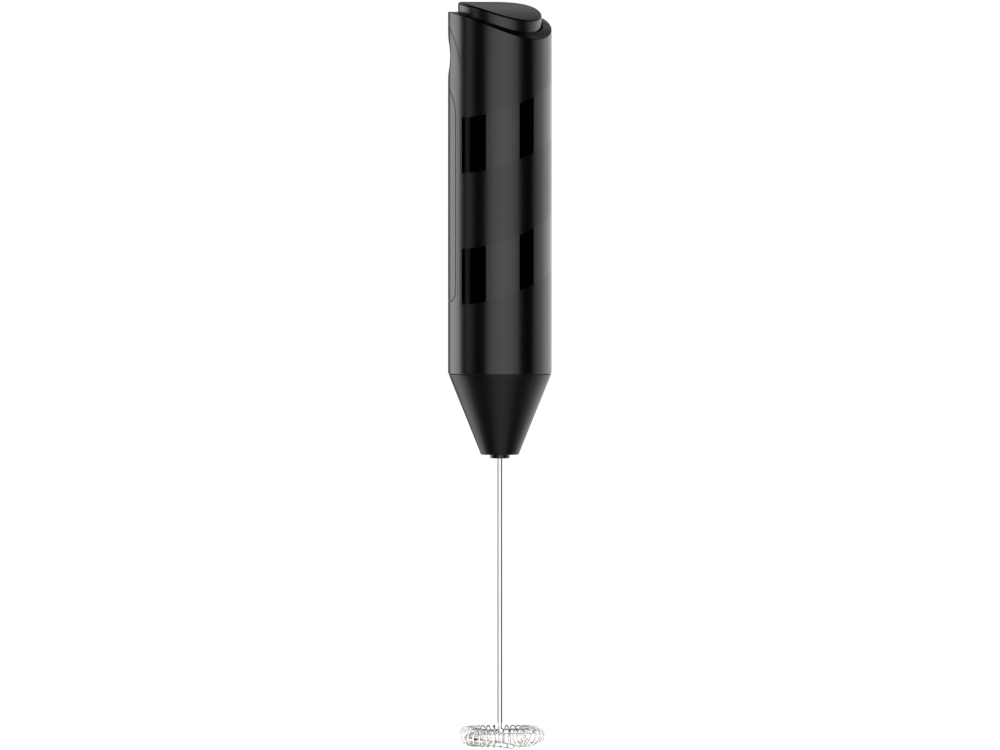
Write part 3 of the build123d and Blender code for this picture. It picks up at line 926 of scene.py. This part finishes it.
        panel = WallPanel(f, inner_point=self._front_inner, ease_of=ease_of)
        gap = self.seam_gap
        edge = f.radius * math.radians(self.front_edge_deg)
        seam = f.unrolled((f.seam_y - gap, 0.0))[0]
        heights = [f.seam_bend_z * k / self.low_rows for k in range(self.low_rows + 1)]
        middle = [edge * (2 * k / self.front_columns - 1) for k in range(self.front_columns + 1)]
        strip = [edge + (seam - edge) * k / self.strip_cells for k in range(self.strip_cells + 1)]
        panel.add_patch([[(x, z) for x in middle] for z in heights])
        panel.add_mirrored([[(x, z) for x in strip] for z in heights])
        foot = [(x, f.seam_bend_z) for x in middle]
        panel.add_patch(self._up_to_rim(foot))
        side = [(x, f.seam_bend_z) for x in strip]
        bend = self._flat(resampled(f.seam_upper(gap), self.bend_columns))
        last_x, level = bend[-1]
        back = line((last_x, level), (f.radius * math.pi, level), self.back_columns)
        panel.add_mirrored(self._up_to_rim(joined(side, bend, back)))
        return panel.build("front_shell_skin")

    def back_shell(self) -> bpy.types.Object:
        """Back shell, laid out as rings of quads round the door opening."""
        f = self.form
        opening = self.door_outline(self.door_gap)
        corner_z = f.door_bottom_z + f.door_corner
        bend = f.seam_upper(0.0)
        upper = joined(line((f.seam_y, f.door_arc_z), (f.seam_y, f.seam_bend_z), 24), bend)
        foot_steps, corner_steps, side_steps, bend_steps, head_steps = self.outline_steps
        border = [
            self._level(f.radius, f.seam_y, 0.0, foot_steps),
            line((f.seam_y, 0.0), (f.seam_y, corner_z), corner_steps),
            line((f.seam_y, corner_z), (f.seam_y, f.door_arc_z), side_steps),
            resampled(upper, bend_steps),
            self._level(bend[-1][0], f.radius, bend[-1][1], head_steps),
        ]
        inner_path = self._flat(joined(*opening))
        outer_path = self._flat(joined(*border))

        def inner(angle: float, z: float) -> Point:
            """The inner face, thicker behind the scoop; it is the same all round the barrel."""
            pad = min(max((z - f.door_arc_z - f.door_arc - self.pad_gap) / self.pad_gap, 0.0), 1.0)
            return (f.radius - f.wall - self.pad_depth * pad, z)

        panel = WallPanel(f, outer_radius=f.scoop_depth_radius, inner_point=inner)
        panel.add_mirrored(self._between(outer_path, inner_path, self.ring_cells), flip=True)
        shell = panel.build("back_shell_skin")
        self._add_ledges(shell)
        return shell

    def _add_ledges(self, shell: bpy.types.Object) -> None:
        """Add the ledges the door closes on; they stand clear of its wall and join the shell past it."""
        f = self.form
        tip, behind_door = self.ledge_radius, f.radius - f.wall - self.ledge_clearance
        root = f.radius - f.wall + self.ledge_root
        under = f.door_bottom_z - self.ledge_shoulder
        over = f.door_arc_z + f.door_arc + self.ledge_shoulder
        (low, low_top), (high, high_top) = self.low_ledge, self.high_ledge
        low_profile = [(tip, low), (root, low), (root, under), (behind_door, under),
                       (behind_door, low_top), (tip, low_top)]
        high_profile = [(tip, high), (behind_door, high), (behind_door, over), (root, over),
                        (root, high_top), (tip, high_top)]
        slot = math.degrees(math.asin(self.foot_slot / self.ledge_radius))
        end = self.ledge_end_deg
        add_solid(shell, ledge_solid(low_profile, end, 90.0 - slot))
        add_solid(shell, ledge_solid(low_profile, 90.0 + slot, 180.0 - end))
        add_solid(shell, ledge_solid(high_profile, end, 180.0 - end))

    def battery_door(self) -> bpy.types.Object:
        """Door: a ring of quads inside its outline and a plain grid in the middle."""
        f = self.form
        edge_path = self._flat(joined(*self.door_outline(0.0)))
        middle = f.radius * math.pi
        left = f.unrolled((self.core_y, 0.0))[0]
        low, high = self.core_levels
        across, up = self.core_columns, self.core_rows
        core_path = joined(line((middle, low), (left, low), across), line((left, low), (left, high), up),
                           line((left, high), (middle, high), across))
        panel = WallPanel(f)
        panel.add_mirrored(self._between(edge_path, core_path, self.frame_cells), flip=True)
        xs = [p[0] for p in line((left, low), (middle, low), across)]
        zs = [p[1] for p in line((left, low), (left, high), up)]
        panel.add_mirrored([[(x, z) for x in xs] for z in zs])
        door = panel.build("battery_door_skin")
        for block in (self.clip_arm, self.foot_tab, self.foot_root):
            add_solid(door, box_solid(block))
        return door

    def dress_all(self, nodes: dict[str, bpy.types.Object]) -> None:
        """Build the shells, the door and the nose, and finish every outer piece of the handle."""
        satin = MouldedPlastic("satin_shell", Colour.SATIN_BLACK.value, roughness=self.satin_roughness)
        banded = BandedPlastic("banded_shell", Colour.SATIN_BLACK.value, self.satin_roughness,
                               self.gloss_roughness, self.band_feet, self.band_height, self.band_rise)
        matt = MouldedPlastic("nose_plastic", Colour.NOSE_BLACK.value, roughness=0.37, grain_depth_mm=0.004)
        bush = MouldedPlastic("bushing_plastic", Colour.NOSE_BLACK.value, roughness=0.3)
        satin_material = satin.material()
        for piece, material, body, node in (
            (self.front_shell(), banded.material(), "handle", "front_shell"),
            (self.back_shell(), satin_material, "handle", "back_shell"),
            (self.battery_door(), satin_material, "battery_door", "battery_door"),
            (self.nose.build(), matt.material(), "handle", "nose_cone"),
        ):
            dress(piece, material)
            stand_for(piece, body, node)
        dress(nodes["nose_bushing"], bush.material())


# ---------------------------------------------------------------------------------------------------
# Coils by geometry nodes
# ---------------------------------------------------------------------------------------------------
class CoilTree:
    """A geometry-node tree that winds wire round a ring or up an axis."""

    INPUTS = {
        "Ring Radius": 9.9 * MM, "Coil Radius": 2.6 * MM, "Wire Radius": 0.3 * MM, "Height": 0.0,
        "Start Angle": 0.0, "Sweep Angle": TAU, "Turns": 28.0, "Rise": 0.0, "Sag": 0.0, "Sag Angle": 0.0,
    }

    def __init__(self, samples: int, sides: int) -> None:
        """Build the tree once.

        Args:
            samples: points along the whole wire.
            sides: corners of the wire's section.
        """
        self.tree = bpy.data.node_groups.new("wound_wire", "GeometryNodeTree")
        for name, value in self.INPUTS.items():
            socket = self.tree.interface.new_socket(name, in_out="INPUT", socket_type="NodeSocketFloat")
            socket.default_value = value
        self.tree.interface.new_socket("Material", in_out="INPUT", socket_type="NodeSocketMaterial")
        self.tree.interface.new_socket("Geometry", in_out="OUTPUT", socket_type="NodeSocketGeometry")
        graph = Graph(self.tree)
        given = graph.node("NodeGroupInput").outputs
        term = {name: Term(graph, given[name]) for name in self.INPUTS}
        share = Term(graph, graph.node("GeometryNodeInputIndex").outputs[0]) / (samples - 1.0)
        angle = term["Start Angle"] + share * term["Sweep Angle"]
        wind = share * term["Turns"] * TAU
        reach = term["Ring Radius"] + term["Coil Radius"] * graph.math("COSINE", wind)
        near = graph.math("MAXIMUM", graph.math("COSINE", angle - term["Sag Angle"]), 0.0)
        height = (term["Height"] + term["Coil Radius"] * graph.math("SINE", wind)
                  + term["Rise"] * share - term["Sag"] * near)
        place = graph.node("ShaderNodeCombineXYZ", inputs={
            0: reach * graph.math("COSINE", angle), 1: reach * graph.math("SINE", angle), 2: height})
        chain = graph.node("GeometryNodeMeshLine", inputs={"Count": samples})
        bent = graph.node("GeometryNodeSetPosition",
                          inputs={"Geometry": chain.outputs[0], "Position": place.outputs[0]})
        path = graph.node("GeometryNodeMeshToCurve", inputs={"Mesh": bent.outputs[0]})
        section = graph.node("GeometryNodeCurvePrimitiveCircle",
                             inputs={"Resolution": sides, "Radius": term["Wire Radius"]})
        wire = graph.node("GeometryNodeCurveToMesh", inputs={
            "Curve": path.outputs[0], "Profile Curve": section.outputs[0], "Fill Caps": True})
        smooth = graph.node("GeometryNodeSetShadeSmooth", inputs={0: wire.outputs[0]})
        real = graph.node("GeometryNodeRealizeInstances", inputs={0: smooth.outputs[0]})
        coated = graph.node("GeometryNodeSetMaterial",
                            inputs={"Geometry": real.outputs[0], "Material": given["Material"]})
        graph.node("NodeGroupOutput", inputs={0: coated.outputs[0]})

    def wind(self, name: str, sizes: dict[str, float], material: bpy.types.Material) -> bpy.types.Object:
        """Wind one coil and return it as a plain mesh.

        Args:
            name: the object's name.
            sizes: values for the tree's named inputs, in metres and radians.
            material: the wire's material.

        Returns:
            The finished object.
        """
        holder = bpy.data.objects.new(name + "_maker", bpy.data.meshes.new(name + "_seed"))
        bpy.context.scene.collection.objects.link(holder)
        modifier = holder.modifiers.new("wind", "NODES")
        modifier.node_group = self.tree
        sockets = {item.name: item.identifier for item in self.tree.interface.items_tree}
        for key, value in {**self.INPUTS, **sizes}.items():
            modifier[sockets[key]] = value
        modifier[sockets["Material"]] = material
        graph = bpy.context.evaluated_depsgraph_get()
        mesh = bpy.data.meshes.new_from_object(holder.evaluated_get(graph))
        bpy.data.objects.remove(holder)
        return finished_coil(name, mesh, material)


def finished_coil(name: str, mesh: bpy.types.Mesh, material: bpy.types.Material) -> bpy.types.Object:
    """Name a generated mesh, turn its faces outwards and link it as an object."""
    work = bmesh.new()
    work.from_mesh(mesh)
    bmesh.ops.recalc_face_normals(work, faces=work.faces)
    work.to_mesh(mesh)
    work.free()
    mesh.name = name
    mesh.shade_smooth()
    mesh.set_sharp_from_angle(angle=math.radians(60))
    made = bpy.data.objects.new(name, mesh)
    bpy.context.scene.collection.objects.link(made)
    dress(made, material)
    return made


# ---------------------------------------------------------------------------------------------------
# Whisk
# ---------------------------------------------------------------------------------------------------
@dataclass
class Whisk:
    """The bent wire and the fine coil that it carries."""

    wire_radius: float = 0.75
    top_z: float = -15.6
    spoke_z: float = -107.3
    shaft_bend: float = 1.3
    ring_bend: float = 1.6
    ring_radius: float = 10.1
    spoke_deg: float = -44.0
    ring_sweep_deg: float = 289.0
    ring_lean: float = 0.76
    ring_fall: float = 3.2
    ring_offset: float = 0.5
    coil_z: float = -108.55
    coil_radius: float = 2.6
    coil_wire: float = 0.22
    coil_turns: float = 33.0
    coil_gap_deg: float = 8.0
    coil_sag: float = 0.35
    shaft_steps: int = 24
    bend_steps: int = 12
    spoke_steps: int = 6
    turn_steps: int = 10
    ring_steps: int = 120

    def wire_path(self) -> list[Vector]:
        """Centre line of the wire from the coupler to its free end."""
        spoke = math.radians(self.spoke_deg)
        out = Vector((math.cos(spoke), math.sin(spoke), 0))
        fall = self.spoke_z + self.shaft_bend - self.top_z
        path = [Vector((0, 0, self.top_z + fall * k / self.shaft_steps)) for k in range(self.shaft_steps)]
        for k in range(self.bend_steps + 1):
            turn = math.pi / 2 * k / self.bend_steps
            path.append(out * (self.shaft_bend * (1 - math.cos(turn)))
                        + Vector((0, 0, self.spoke_z + self.shaft_bend * (1 - math.sin(turn)))))
        inner = self.ring_radius - self.ring_bend
        lead = math.asin(self.ring_bend / inner)
        reach = inner * math.cos(lead) + self.ring_offset
        middle = out * self.ring_offset
        level = Vector((0, 0, self.spoke_z))
        path += [out * (self.shaft_bend + (reach - self.shaft_bend) * k / self.spoke_steps) + level
                 for k in range(1, self.spoke_steps)]
        turn = spoke + lead
        centre = middle + Vector((inner * math.cos(turn), inner * math.sin(turn), self.spoke_z))
        for k in range(self.turn_steps + 1):
            turn = spoke - math.pi / 2 + (lead + math.pi / 2) * k / self.turn_steps
            path.append(centre + Vector((math.cos(turn), math.sin(turn), 0)) * self.ring_bend)
        sweep = math.radians(self.ring_sweep_deg)
        for k in range(1, self.ring_steps + 1):
            share = k / self.ring_steps
            angle = spoke + lead + (sweep - lead) * share
            fall = self.ring_lean * share + self.ring_fall * share ** 2
            path.append(middle + Vector((self.ring_radius * math.cos(angle),
                                         self.ring_radius * math.sin(angle), self.spoke_z - fall)))
        return path

    def wire(self) -> bpy.types.Object:
        """The wire as a round tube with eased ends."""
        return swept_tube("whisk_wire_bent", self.wire_path(), self.wire_radius, sides=20)

    def dress_all(self, coils: CoilTree) -> list[bpy.types.Object]:
        """Build, finish and return both pieces."""
        # Both finishes darken the base colour where the wire and the coil turn away from the view: painted
        # shade, strongest on the polished wire above its lower bend.
        polished = Metal("polished_wire", (0.78, 0.78, 0.77), 0.07, (2500.0, 2500.0, 60.0), 0.0004,
                         painted_shade_share=0.05, painted_shade_band=(0.06, 0.5),
                         painted_shade_above_mm=self.spoke_z + self.shaft_bend + 1.0).material()
        bright = Metal("bright_coil_wire", (0.90, 0.90, 0.89), 0.12, (2500.0,) * 3, 0.0004,
                       painted_shade_share=0.3).material()
        wire = self.wire()
        dress(wire, polished)
        stand_for(wire, "drive", "whisk_wire")
        gap = math.radians(self.coil_gap_deg)
        coil = coils.wind("whisk_coil_wound", {
            "Ring Radius": self.ring_radius * MM, "Coil Radius": self.coil_radius * MM,
            "Wire Radius": self.coil_wire * MM, "Height": self.coil_z * MM,
            "Start Angle": math.radians(self.spoke_deg) + gap / 2, "Sweep Angle": TAU - gap,
            "Turns": self.coil_turns, "Sag": self.coil_sag * MM,
            "Sag Angle": math.radians(self.spoke_deg - 90.0),
        }, bright)
        spoke = math.radians(self.spoke_deg)
        aside = Vector((math.cos(spoke), math.sin(spoke), 0)) * (self.ring_offset * MM)
        coil.data.transform(Matrix.Translation(aside))
        stand_for(coil, "drive", "whisk_coil")
        return [wire, coil]


def swept_tube(name: str, path: Sequence[Vector], radius: float, sides: int) -> bpy.types.Object:
    """Sweep a round section along a path, with domed ends.

    Args:
        name: the object's name.
        path: centre points in millimetres.
        radius: the section's radius.
        sides: corners of the section.

    Returns:
        The tube.
    """
    top = len(path) - 1
    tangents = [(path[min(k + 1, top)] - path[max(k - 1, 0)]).normalized() for k in range(len(path))]
    across = tangents[0].orthogonal().normalized()
    stations: list[tuple[Vector, Vector, Vector, float]] = []
    for k, (point, tangent) in enumerate(zip(path, tangents)):
        across = (across - tangent * across.dot(tangent)).normalized()
        stations.append((point, tangent, across.copy(), radius))
    dome = [(0.35, 0.98), (0.75, 0.80), (0.98, 0.35)]
    first, last = stations[0], stations[-1]
    ends = [(last[0] + last[1] * radius * along * 0.5, last[1], last[2], radius * size)
            for along, size in dome]
    starts = [(first[0] - first[1] * radius * along * 0.5, first[1], first[2], radius * size)
              for along, size in reversed(dome)]
    points: list[Point3] = []
    for point, tangent, side, size in [*starts, *stations, *ends]:
        other = tangent.cross(side)
        for k in range(sides):
            turn = TAU * k / sides
            points.append(tuple(point + (side * math.cos(turn) + other * math.sin(turn)) * size))
    rings = len(points) // sides
    faces: list[tuple[int, ...]] = []
    for ring in range(rings - 1):
        for k in range(sides):
            a, b = ring * sides + k, ring * sides + (k + 1) % sides
            faces.append((a, b, b + sides, a + sides))
    faces.append(tuple(reversed(range(sides))))
    faces.append(tuple(range((rings - 1) * sides, rings * sides)))
    return mesh_object(name, points, faces, smooth_deg=70)


# ---------------------------------------------------------------------------------------------------
# Insides
# ---------------------------------------------------------------------------------------------------
@dataclass(frozen=True)
class SpringForm:
    """A wound spring that stands for a CAD node."""

    node: str
    turns: float
    wire_mm: float = 0.25


@dataclass
class Insides:
    """Motor, cells, contacts, switch and button, most of them in their CAD shapes."""

    button_travel: float = 1.5
    springs: tuple[SpringForm, ...] = (
        SpringForm("bridge_spring", 3.0),
        SpringForm("negative_spring", 1.5),
        SpringForm("button_spring", 6.5, wire_mm=0.4),
    )

    def finishes(self) -> dict[str, bpy.types.Material]:
        """One material for each CAD node that keeps its shape."""
        plastic = MouldedPlastic
        nylon = plastic("white_nylon", Colour.NYLON.value, 0.45).material()
        black = plastic("inner_moulding", Colour.INNER_BLACK.value, 0.5).material()
        steel = Metal("ground_steel", Colour.STEEL.value, 0.28).material()
        can = Metal("plated_can", Colour.STEEL.value, 0.35, (900.0, 900.0, 900.0)).material()
        core = Metal("core_stack", Colour.CORE_STEEL.value, 0.4, (10.0, 10.0, 4000.0), 0.02).material()
        nickel = Metal("nickel_strip", Colour.NICKEL.value, 0.25).material()
        bronze = Metal("sintered_bronze", Colour.BRONZE.value, 0.45, (6000.0,) * 3, 0.004).material()
        copper = Metal("enamelled_copper", Colour.COPPER.value, 0.22, (200.0, 200.0, 5000.0), 0.02).material()
        screw = Metal("zinc_screw", Colour.STEEL.value, 0.3, (2500.0,) * 3).material()
        low, high = (corner[2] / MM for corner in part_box("cell_a"))
        return {
            "motor_can": can, "motor_end_cap": nylon, "motor_front_bearing": bronze,
            "motor_rear_bearing": bronze, "motor_brushes": bronze, "motor_terminals": nickel,
            "motor_magnets": plastic("ferrite", Colour.FERRITE.value, 0.6, 0.1, 0.01).material(),
            "motor_cradle": black, "battery_tray": black, "switch_housing": black,
            "cell_a": CellSleeve("sleeve_nub_up", low + 1.0, high - 2.2, True).material(),
            "cell_b": CellSleeve("sleeve_nub_down", low + 2.2, high - 1.0, False).material(),
            "bridge_contact": nickel, "positive_contact": nickel, "negative_contact": nickel,
            "switch_board": Laminate("board_laminate").material(),
            "board_screws": screw, "tray_screws": screw,
            "red_lead": plastic("red_insulation", Colour.RED.value, 0.35).material(),
            "black_lead": plastic("black_insulation", Colour.INNER_BLACK.value, 0.35).material(),
            "motor_shaft": steel, "armature_core": core, "armature_windings": copper,
            "commutator": copper, "shaft_coupler": nylon, "switch_plunger": nylon,
            "power_button": plastic("button_plastic", Colour.BUTTON_BLACK.value, 0.3).material(),
        }

    def dress_all(self, nodes: dict[str, bpy.types.Object], coils: CoilTree) -> None:
        """Finish the CAD nodes and wind the three springs."""
        for node, material in self.finishes().items():
            dress(nodes[node], material)
            LOG.info("%s: CAD shape, %s", node, material.name)
        spring_steel = Metal("spring_wire", Colour.STEEL.value, 0.2, (2000.0,) * 3).material()
        for form in self.springs:
            low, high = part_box(form.node)
            middle = (low + high) / 2
            wire = form.wire_mm * MM
            radius = (high[0] - low[0]) / 2 - wire
            spring = coils.wind(form.node + "_wound", {
                "Ring Radius": radius, "Coil Radius": 0.0, "Wire Radius": wire,
                "Height": low[2] + wire, "Rise": high[2] - low[2] - 2 * wire,
                "Sweep Angle": TAU * form.turns, "Turns": 0.0,
            }, spring_steel)
            spring.data.transform(Matrix.Translation((middle[0], middle[1], 0.0)))
            stand_for(spring, "handle", form.node)
            if form.node == "button_spring":
                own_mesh(spring)


# ---------------------------------------------------------------------------------------------------
# Studio
# ---------------------------------------------------------------------------------------------------
@dataclass(frozen=True)
class Panel:
    """A soft light that stands round the frother between two bearings from the camera's side."""

    start_deg: float
    end_deg: float
    start_level: float
    end_level: float
    crown: float = 0.0
    blur: float = 1.5
    low_share: float = 0.3
    low_band: Point = (-0.5, -0.12)
    top: Point = (0.3, 0.5)
    foot: Point | None = None

    def level(self, graph: Graph, turn: Term, rise: Term) -> Term:
        """Its light in a direction.

        Args:
            graph: the world's node tree.
            turn: the direction's bearing, in degrees.
            rise: the sine of its height over the horizon.

        Returns:
            A straight run between the panel's ends plus a bulge in the middle, weaker below the horizon
            and nothing above the panel's top.
        """
        share = (turn - self.start_deg) / (self.end_deg - self.start_deg)
        run = share * (self.end_level - self.start_level) + self.start_level
        bulge = share * (1 - share) * (4 * self.crown)
        low = 1 - graph.step(rise, *self.low_band)
        fade = (1 - low * (1 - self.low_share)) * (1 - graph.step(rise, *self.top))
        if self.foot:
            fade = fade * graph.step(rise, *self.foot)
        return (run + bulge) * graph.window(turn, self.start_deg, self.end_deg, self.blur) * fade


@dataclass(frozen=True)
class WireLamp:
    """A soft box that lights only the pieces it is linked to."""

    name: str
    bearing_deg: float
    rise_deg: float
    reach: float
    width: float
    height: float
    power: float
    aim_z_mm: float = -100.0

    def hang(self, azimuth: float, lit: bpy.types.Collection) -> None:
        """Put the lamp in place.

        Args:
            azimuth: the camera's azimuth in degrees, which the bearing is counted from.
            lit: the collection of pieces that it lights.
        """
        lamp = bpy.data.lights.new(self.name, "AREA")
        lamp.shape = "RECTANGLE"
        lamp.size = self.width
        lamp.size_y = self.height
        lamp.energy = self.power
        made = bpy.data.objects.new(self.name, lamp)
        bpy.context.scene.collection.objects.link(made)
        turn, rise = math.radians(azimuth + self.bearing_deg), math.radians(self.rise_deg)
        away = Vector((math.sin(turn) * math.cos(rise), -math.cos(turn) * math.cos(rise), math.sin(rise)))
        made.location = away * self.reach + Vector((0, 0, self.aim_z_mm * MM))
        made.rotation_mode = "QUATERNION"
        made.rotation_quaternion = (-away).to_track_quat("-Z", "Y")
        made.visible_camera = False
        made.light_linking.receiver_collection = lit


@dataclass
class Studio:
    """Camera, floor and soft surrounding light."""

    azimuth: float = -44.0
    elevation: float = 1.3
    lens: float = 500.0
    sensor: float = 36.0
    frame_width: float = 299.5
    aim_z: float = -0.46
    view_limit: float = 60.0
    side_shift: float = 0.00015
    floor_z: float = -320.0
    floor_half: float = 9000.0
    rear_sky: float = 0.5
    rear_sky_deg: float = 100.0
    rear_sky_blur: float = 10.0
    rear_sky_foot: Point = (0.08, 0.42)
    rear_sky_top: Point = (0.40, 0.80)
    panels: tuple[Panel, ...] = (
        Panel(-31.0, 44.5, 0.74, 0.85, crown=1.12),
        Panel(-84.0, -71.0, 0.22, 0.22, blur=5.0),
        Panel(-79.0, -63.0, 2.3, 2.3, blur=4.0, foot=(0.03, 0.08), top=(0.3, 0.45)),
        Panel(82.0, 120.0, 0.72, 1.90, low_share=0.25, top=(0.06, 0.16)),
        Panel(120.0, 170.0, 2.00, 1.15, low_share=0.6, top=(0.06, 0.16)),
        Panel(-118.0, -98.0, 3.10, 2.90, low_share=0.42, top=(0.06, 0.16)),
        Panel(-150.0, -118.0, 1.00, 3.10, low_share=0.45, top=(0.06, 0.16)),
    )
    wire_lamps: tuple[WireLamp, ...] = (
        WireLamp("side_box", -66.0, 0.0, 1.0, 0.9, 1.6, 5.0),
        WireLamp("top_box", 0.0, 60.0, 1.0, 1.8, 1.8, 11.0),
        WireLamp("low_box", 0.0, -48.0, 0.24, 0.5, 0.4, 0.8),
    )

    def _toward_camera(self) -> Vector:
        """Unit vector from the object to the camera."""
        a, e = math.radians(self.azimuth), math.radians(self.elevation)
        return Vector((math.sin(a) * math.cos(e), -math.cos(a) * math.cos(e), math.sin(e)))

    def camera(self) -> None:
        """A long lens, as far off as it takes for the frame's width."""
        data = bpy.data.cameras.new("studio_camera")
        data.lens = self.lens
        data.sensor_width = self.sensor
        data.clip_end = self.view_limit
        camera = bpy.data.objects.new("studio_camera", data)
        bpy.context.scene.collection.objects.link(camera)
        back = self._toward_camera()
        distance = self.frame_width * MM * self.lens / self.sensor
        camera.location = Vector((0, 0, self.aim_z * MM)) + back * distance
        data.shift_x = self.side_shift
        camera.rotation_mode = "QUATERNION"
        camera.rotation_quaternion = (-back).to_track_quat("-Z", "Y")
        bpy.context.scene.camera = camera

    def floor(self) -> None:
        """A wide pale floor well below the hanging frother, clear when seen from below."""
        h = self.floor_half
        points = [(-h, -h, self.floor_z), (h, -h, self.floor_z), (h, h, self.floor_z), (-h, h, self.floor_z)]
        floor = mesh_object("studio_floor", points, [(0, 1, 2, 3)])
        material = bpy.data.materials.new("pale_floor")
        material.use_nodes = True
        graph = Graph(material.node_tree)
        tone = graph.noise(graph.place(), 3.0)
        pale = graph.node("ShaderNodeBsdfPrincipled", inputs={
            "Base Color": graph.blend(tone, (0.9, 0.9, 0.9), (0.93, 0.93, 0.93)), "Roughness": 0.9,
            "Emission Color": (1.0, 1.0, 1.0, 1.0), "Emission Strength": 1.0})
        clear = graph.node("ShaderNodeBsdfTransparent")
        below = graph.node("ShaderNodeNewGeometry").outputs["Backfacing"]
        mix = graph.node("ShaderNodeMixShader", inputs={0: below, 1: pale.outputs[0], 2: clear.outputs[0]})
        graph.node("ShaderNodeOutputMaterial", inputs={"Surface": mix.outputs[0]})
        dress(floor, material)
        floor.visible_glossy = False

    def surround(self) -> None:
        """White backdrop, lit by tall soft panels, with a dim sky behind and darkness overhead."""
        world = bpy.data.worlds.new("studio_light")
        bpy.context.scene.world = world
        world.use_nodes = True
        graph = Graph(world.node_tree)
        x, y, z = graph.axes(graph.node("ShaderNodeTexCoord").outputs["Generated"])
        a = math.radians(self.azimuth)
        right = x * math.cos(a) + y * math.sin(a)
        front = x * math.sin(a) - y * math.cos(a)
        turn = graph.math("ARCTAN2", right, front) * math.degrees(1.0)
        off_axis = graph.math("ABSOLUTE", turn)
        behind = graph.step(off_axis, self.rear_sky_deg, self.rear_sky_deg + self.rear_sky_blur)
        light = behind * graph.step(z, *self.rear_sky_foot) * (1 - graph.step(z, *self.rear_sky_top))
        light = light * self.rear_sky
        for panel in self.panels:
            light = light + panel.level(graph, turn, z)
        studio = graph.node("ShaderNodeBackground", inputs={"Color": (1, 1, 1, 1), "Strength": light})
        white = graph.node("ShaderNodeBackground", inputs={"Color": (1, 1, 1, 1), "Strength": 1.0})
        seen = graph.node("ShaderNodeLightPath").outputs["Is Camera Ray"]
        mix = graph.node("ShaderNodeMixShader", inputs={0: seen, 1: studio.outputs[0], 2: white.outputs[0]})
        graph.node("ShaderNodeOutputWorld", inputs={"Surface": mix.outputs[0]})

    def light_wire(self, pieces: Sequence[bpy.types.Object]) -> None:
        """Hang the lamps that light the bare wire alone."""
        lit = bpy.data.collections.new("bare_wire")
        for piece in pieces:
            lit.objects.link(piece)
        for lamp in self.wire_lamps:
            lamp.hang(self.azimuth, lit)

    def set_up(self) -> None:
        """Put everything in place and set a plain view transform."""
        self.camera()
        self.floor()
        self.surround()
        bpy.context.scene.view_settings.view_transform = "Standard"
        bpy.context.scene.view_settings.look = "None"


def main() -> None:
    """Build the looks in order."""
    logging.basicConfig(level=logging.INFO, format="%(name)s %(message)s")
    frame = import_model()
    nodes = frame["nodes"]
    studio = Studio()
    studio.set_up()
    coils = CoilTree(samples=1200, sides=10)
    Handle().dress_all(nodes)
    Insides().dress_all(nodes, coils)
    studio.light_wire(Whisk().dress_all(coils))


if __name__ == "__main__":
    main()
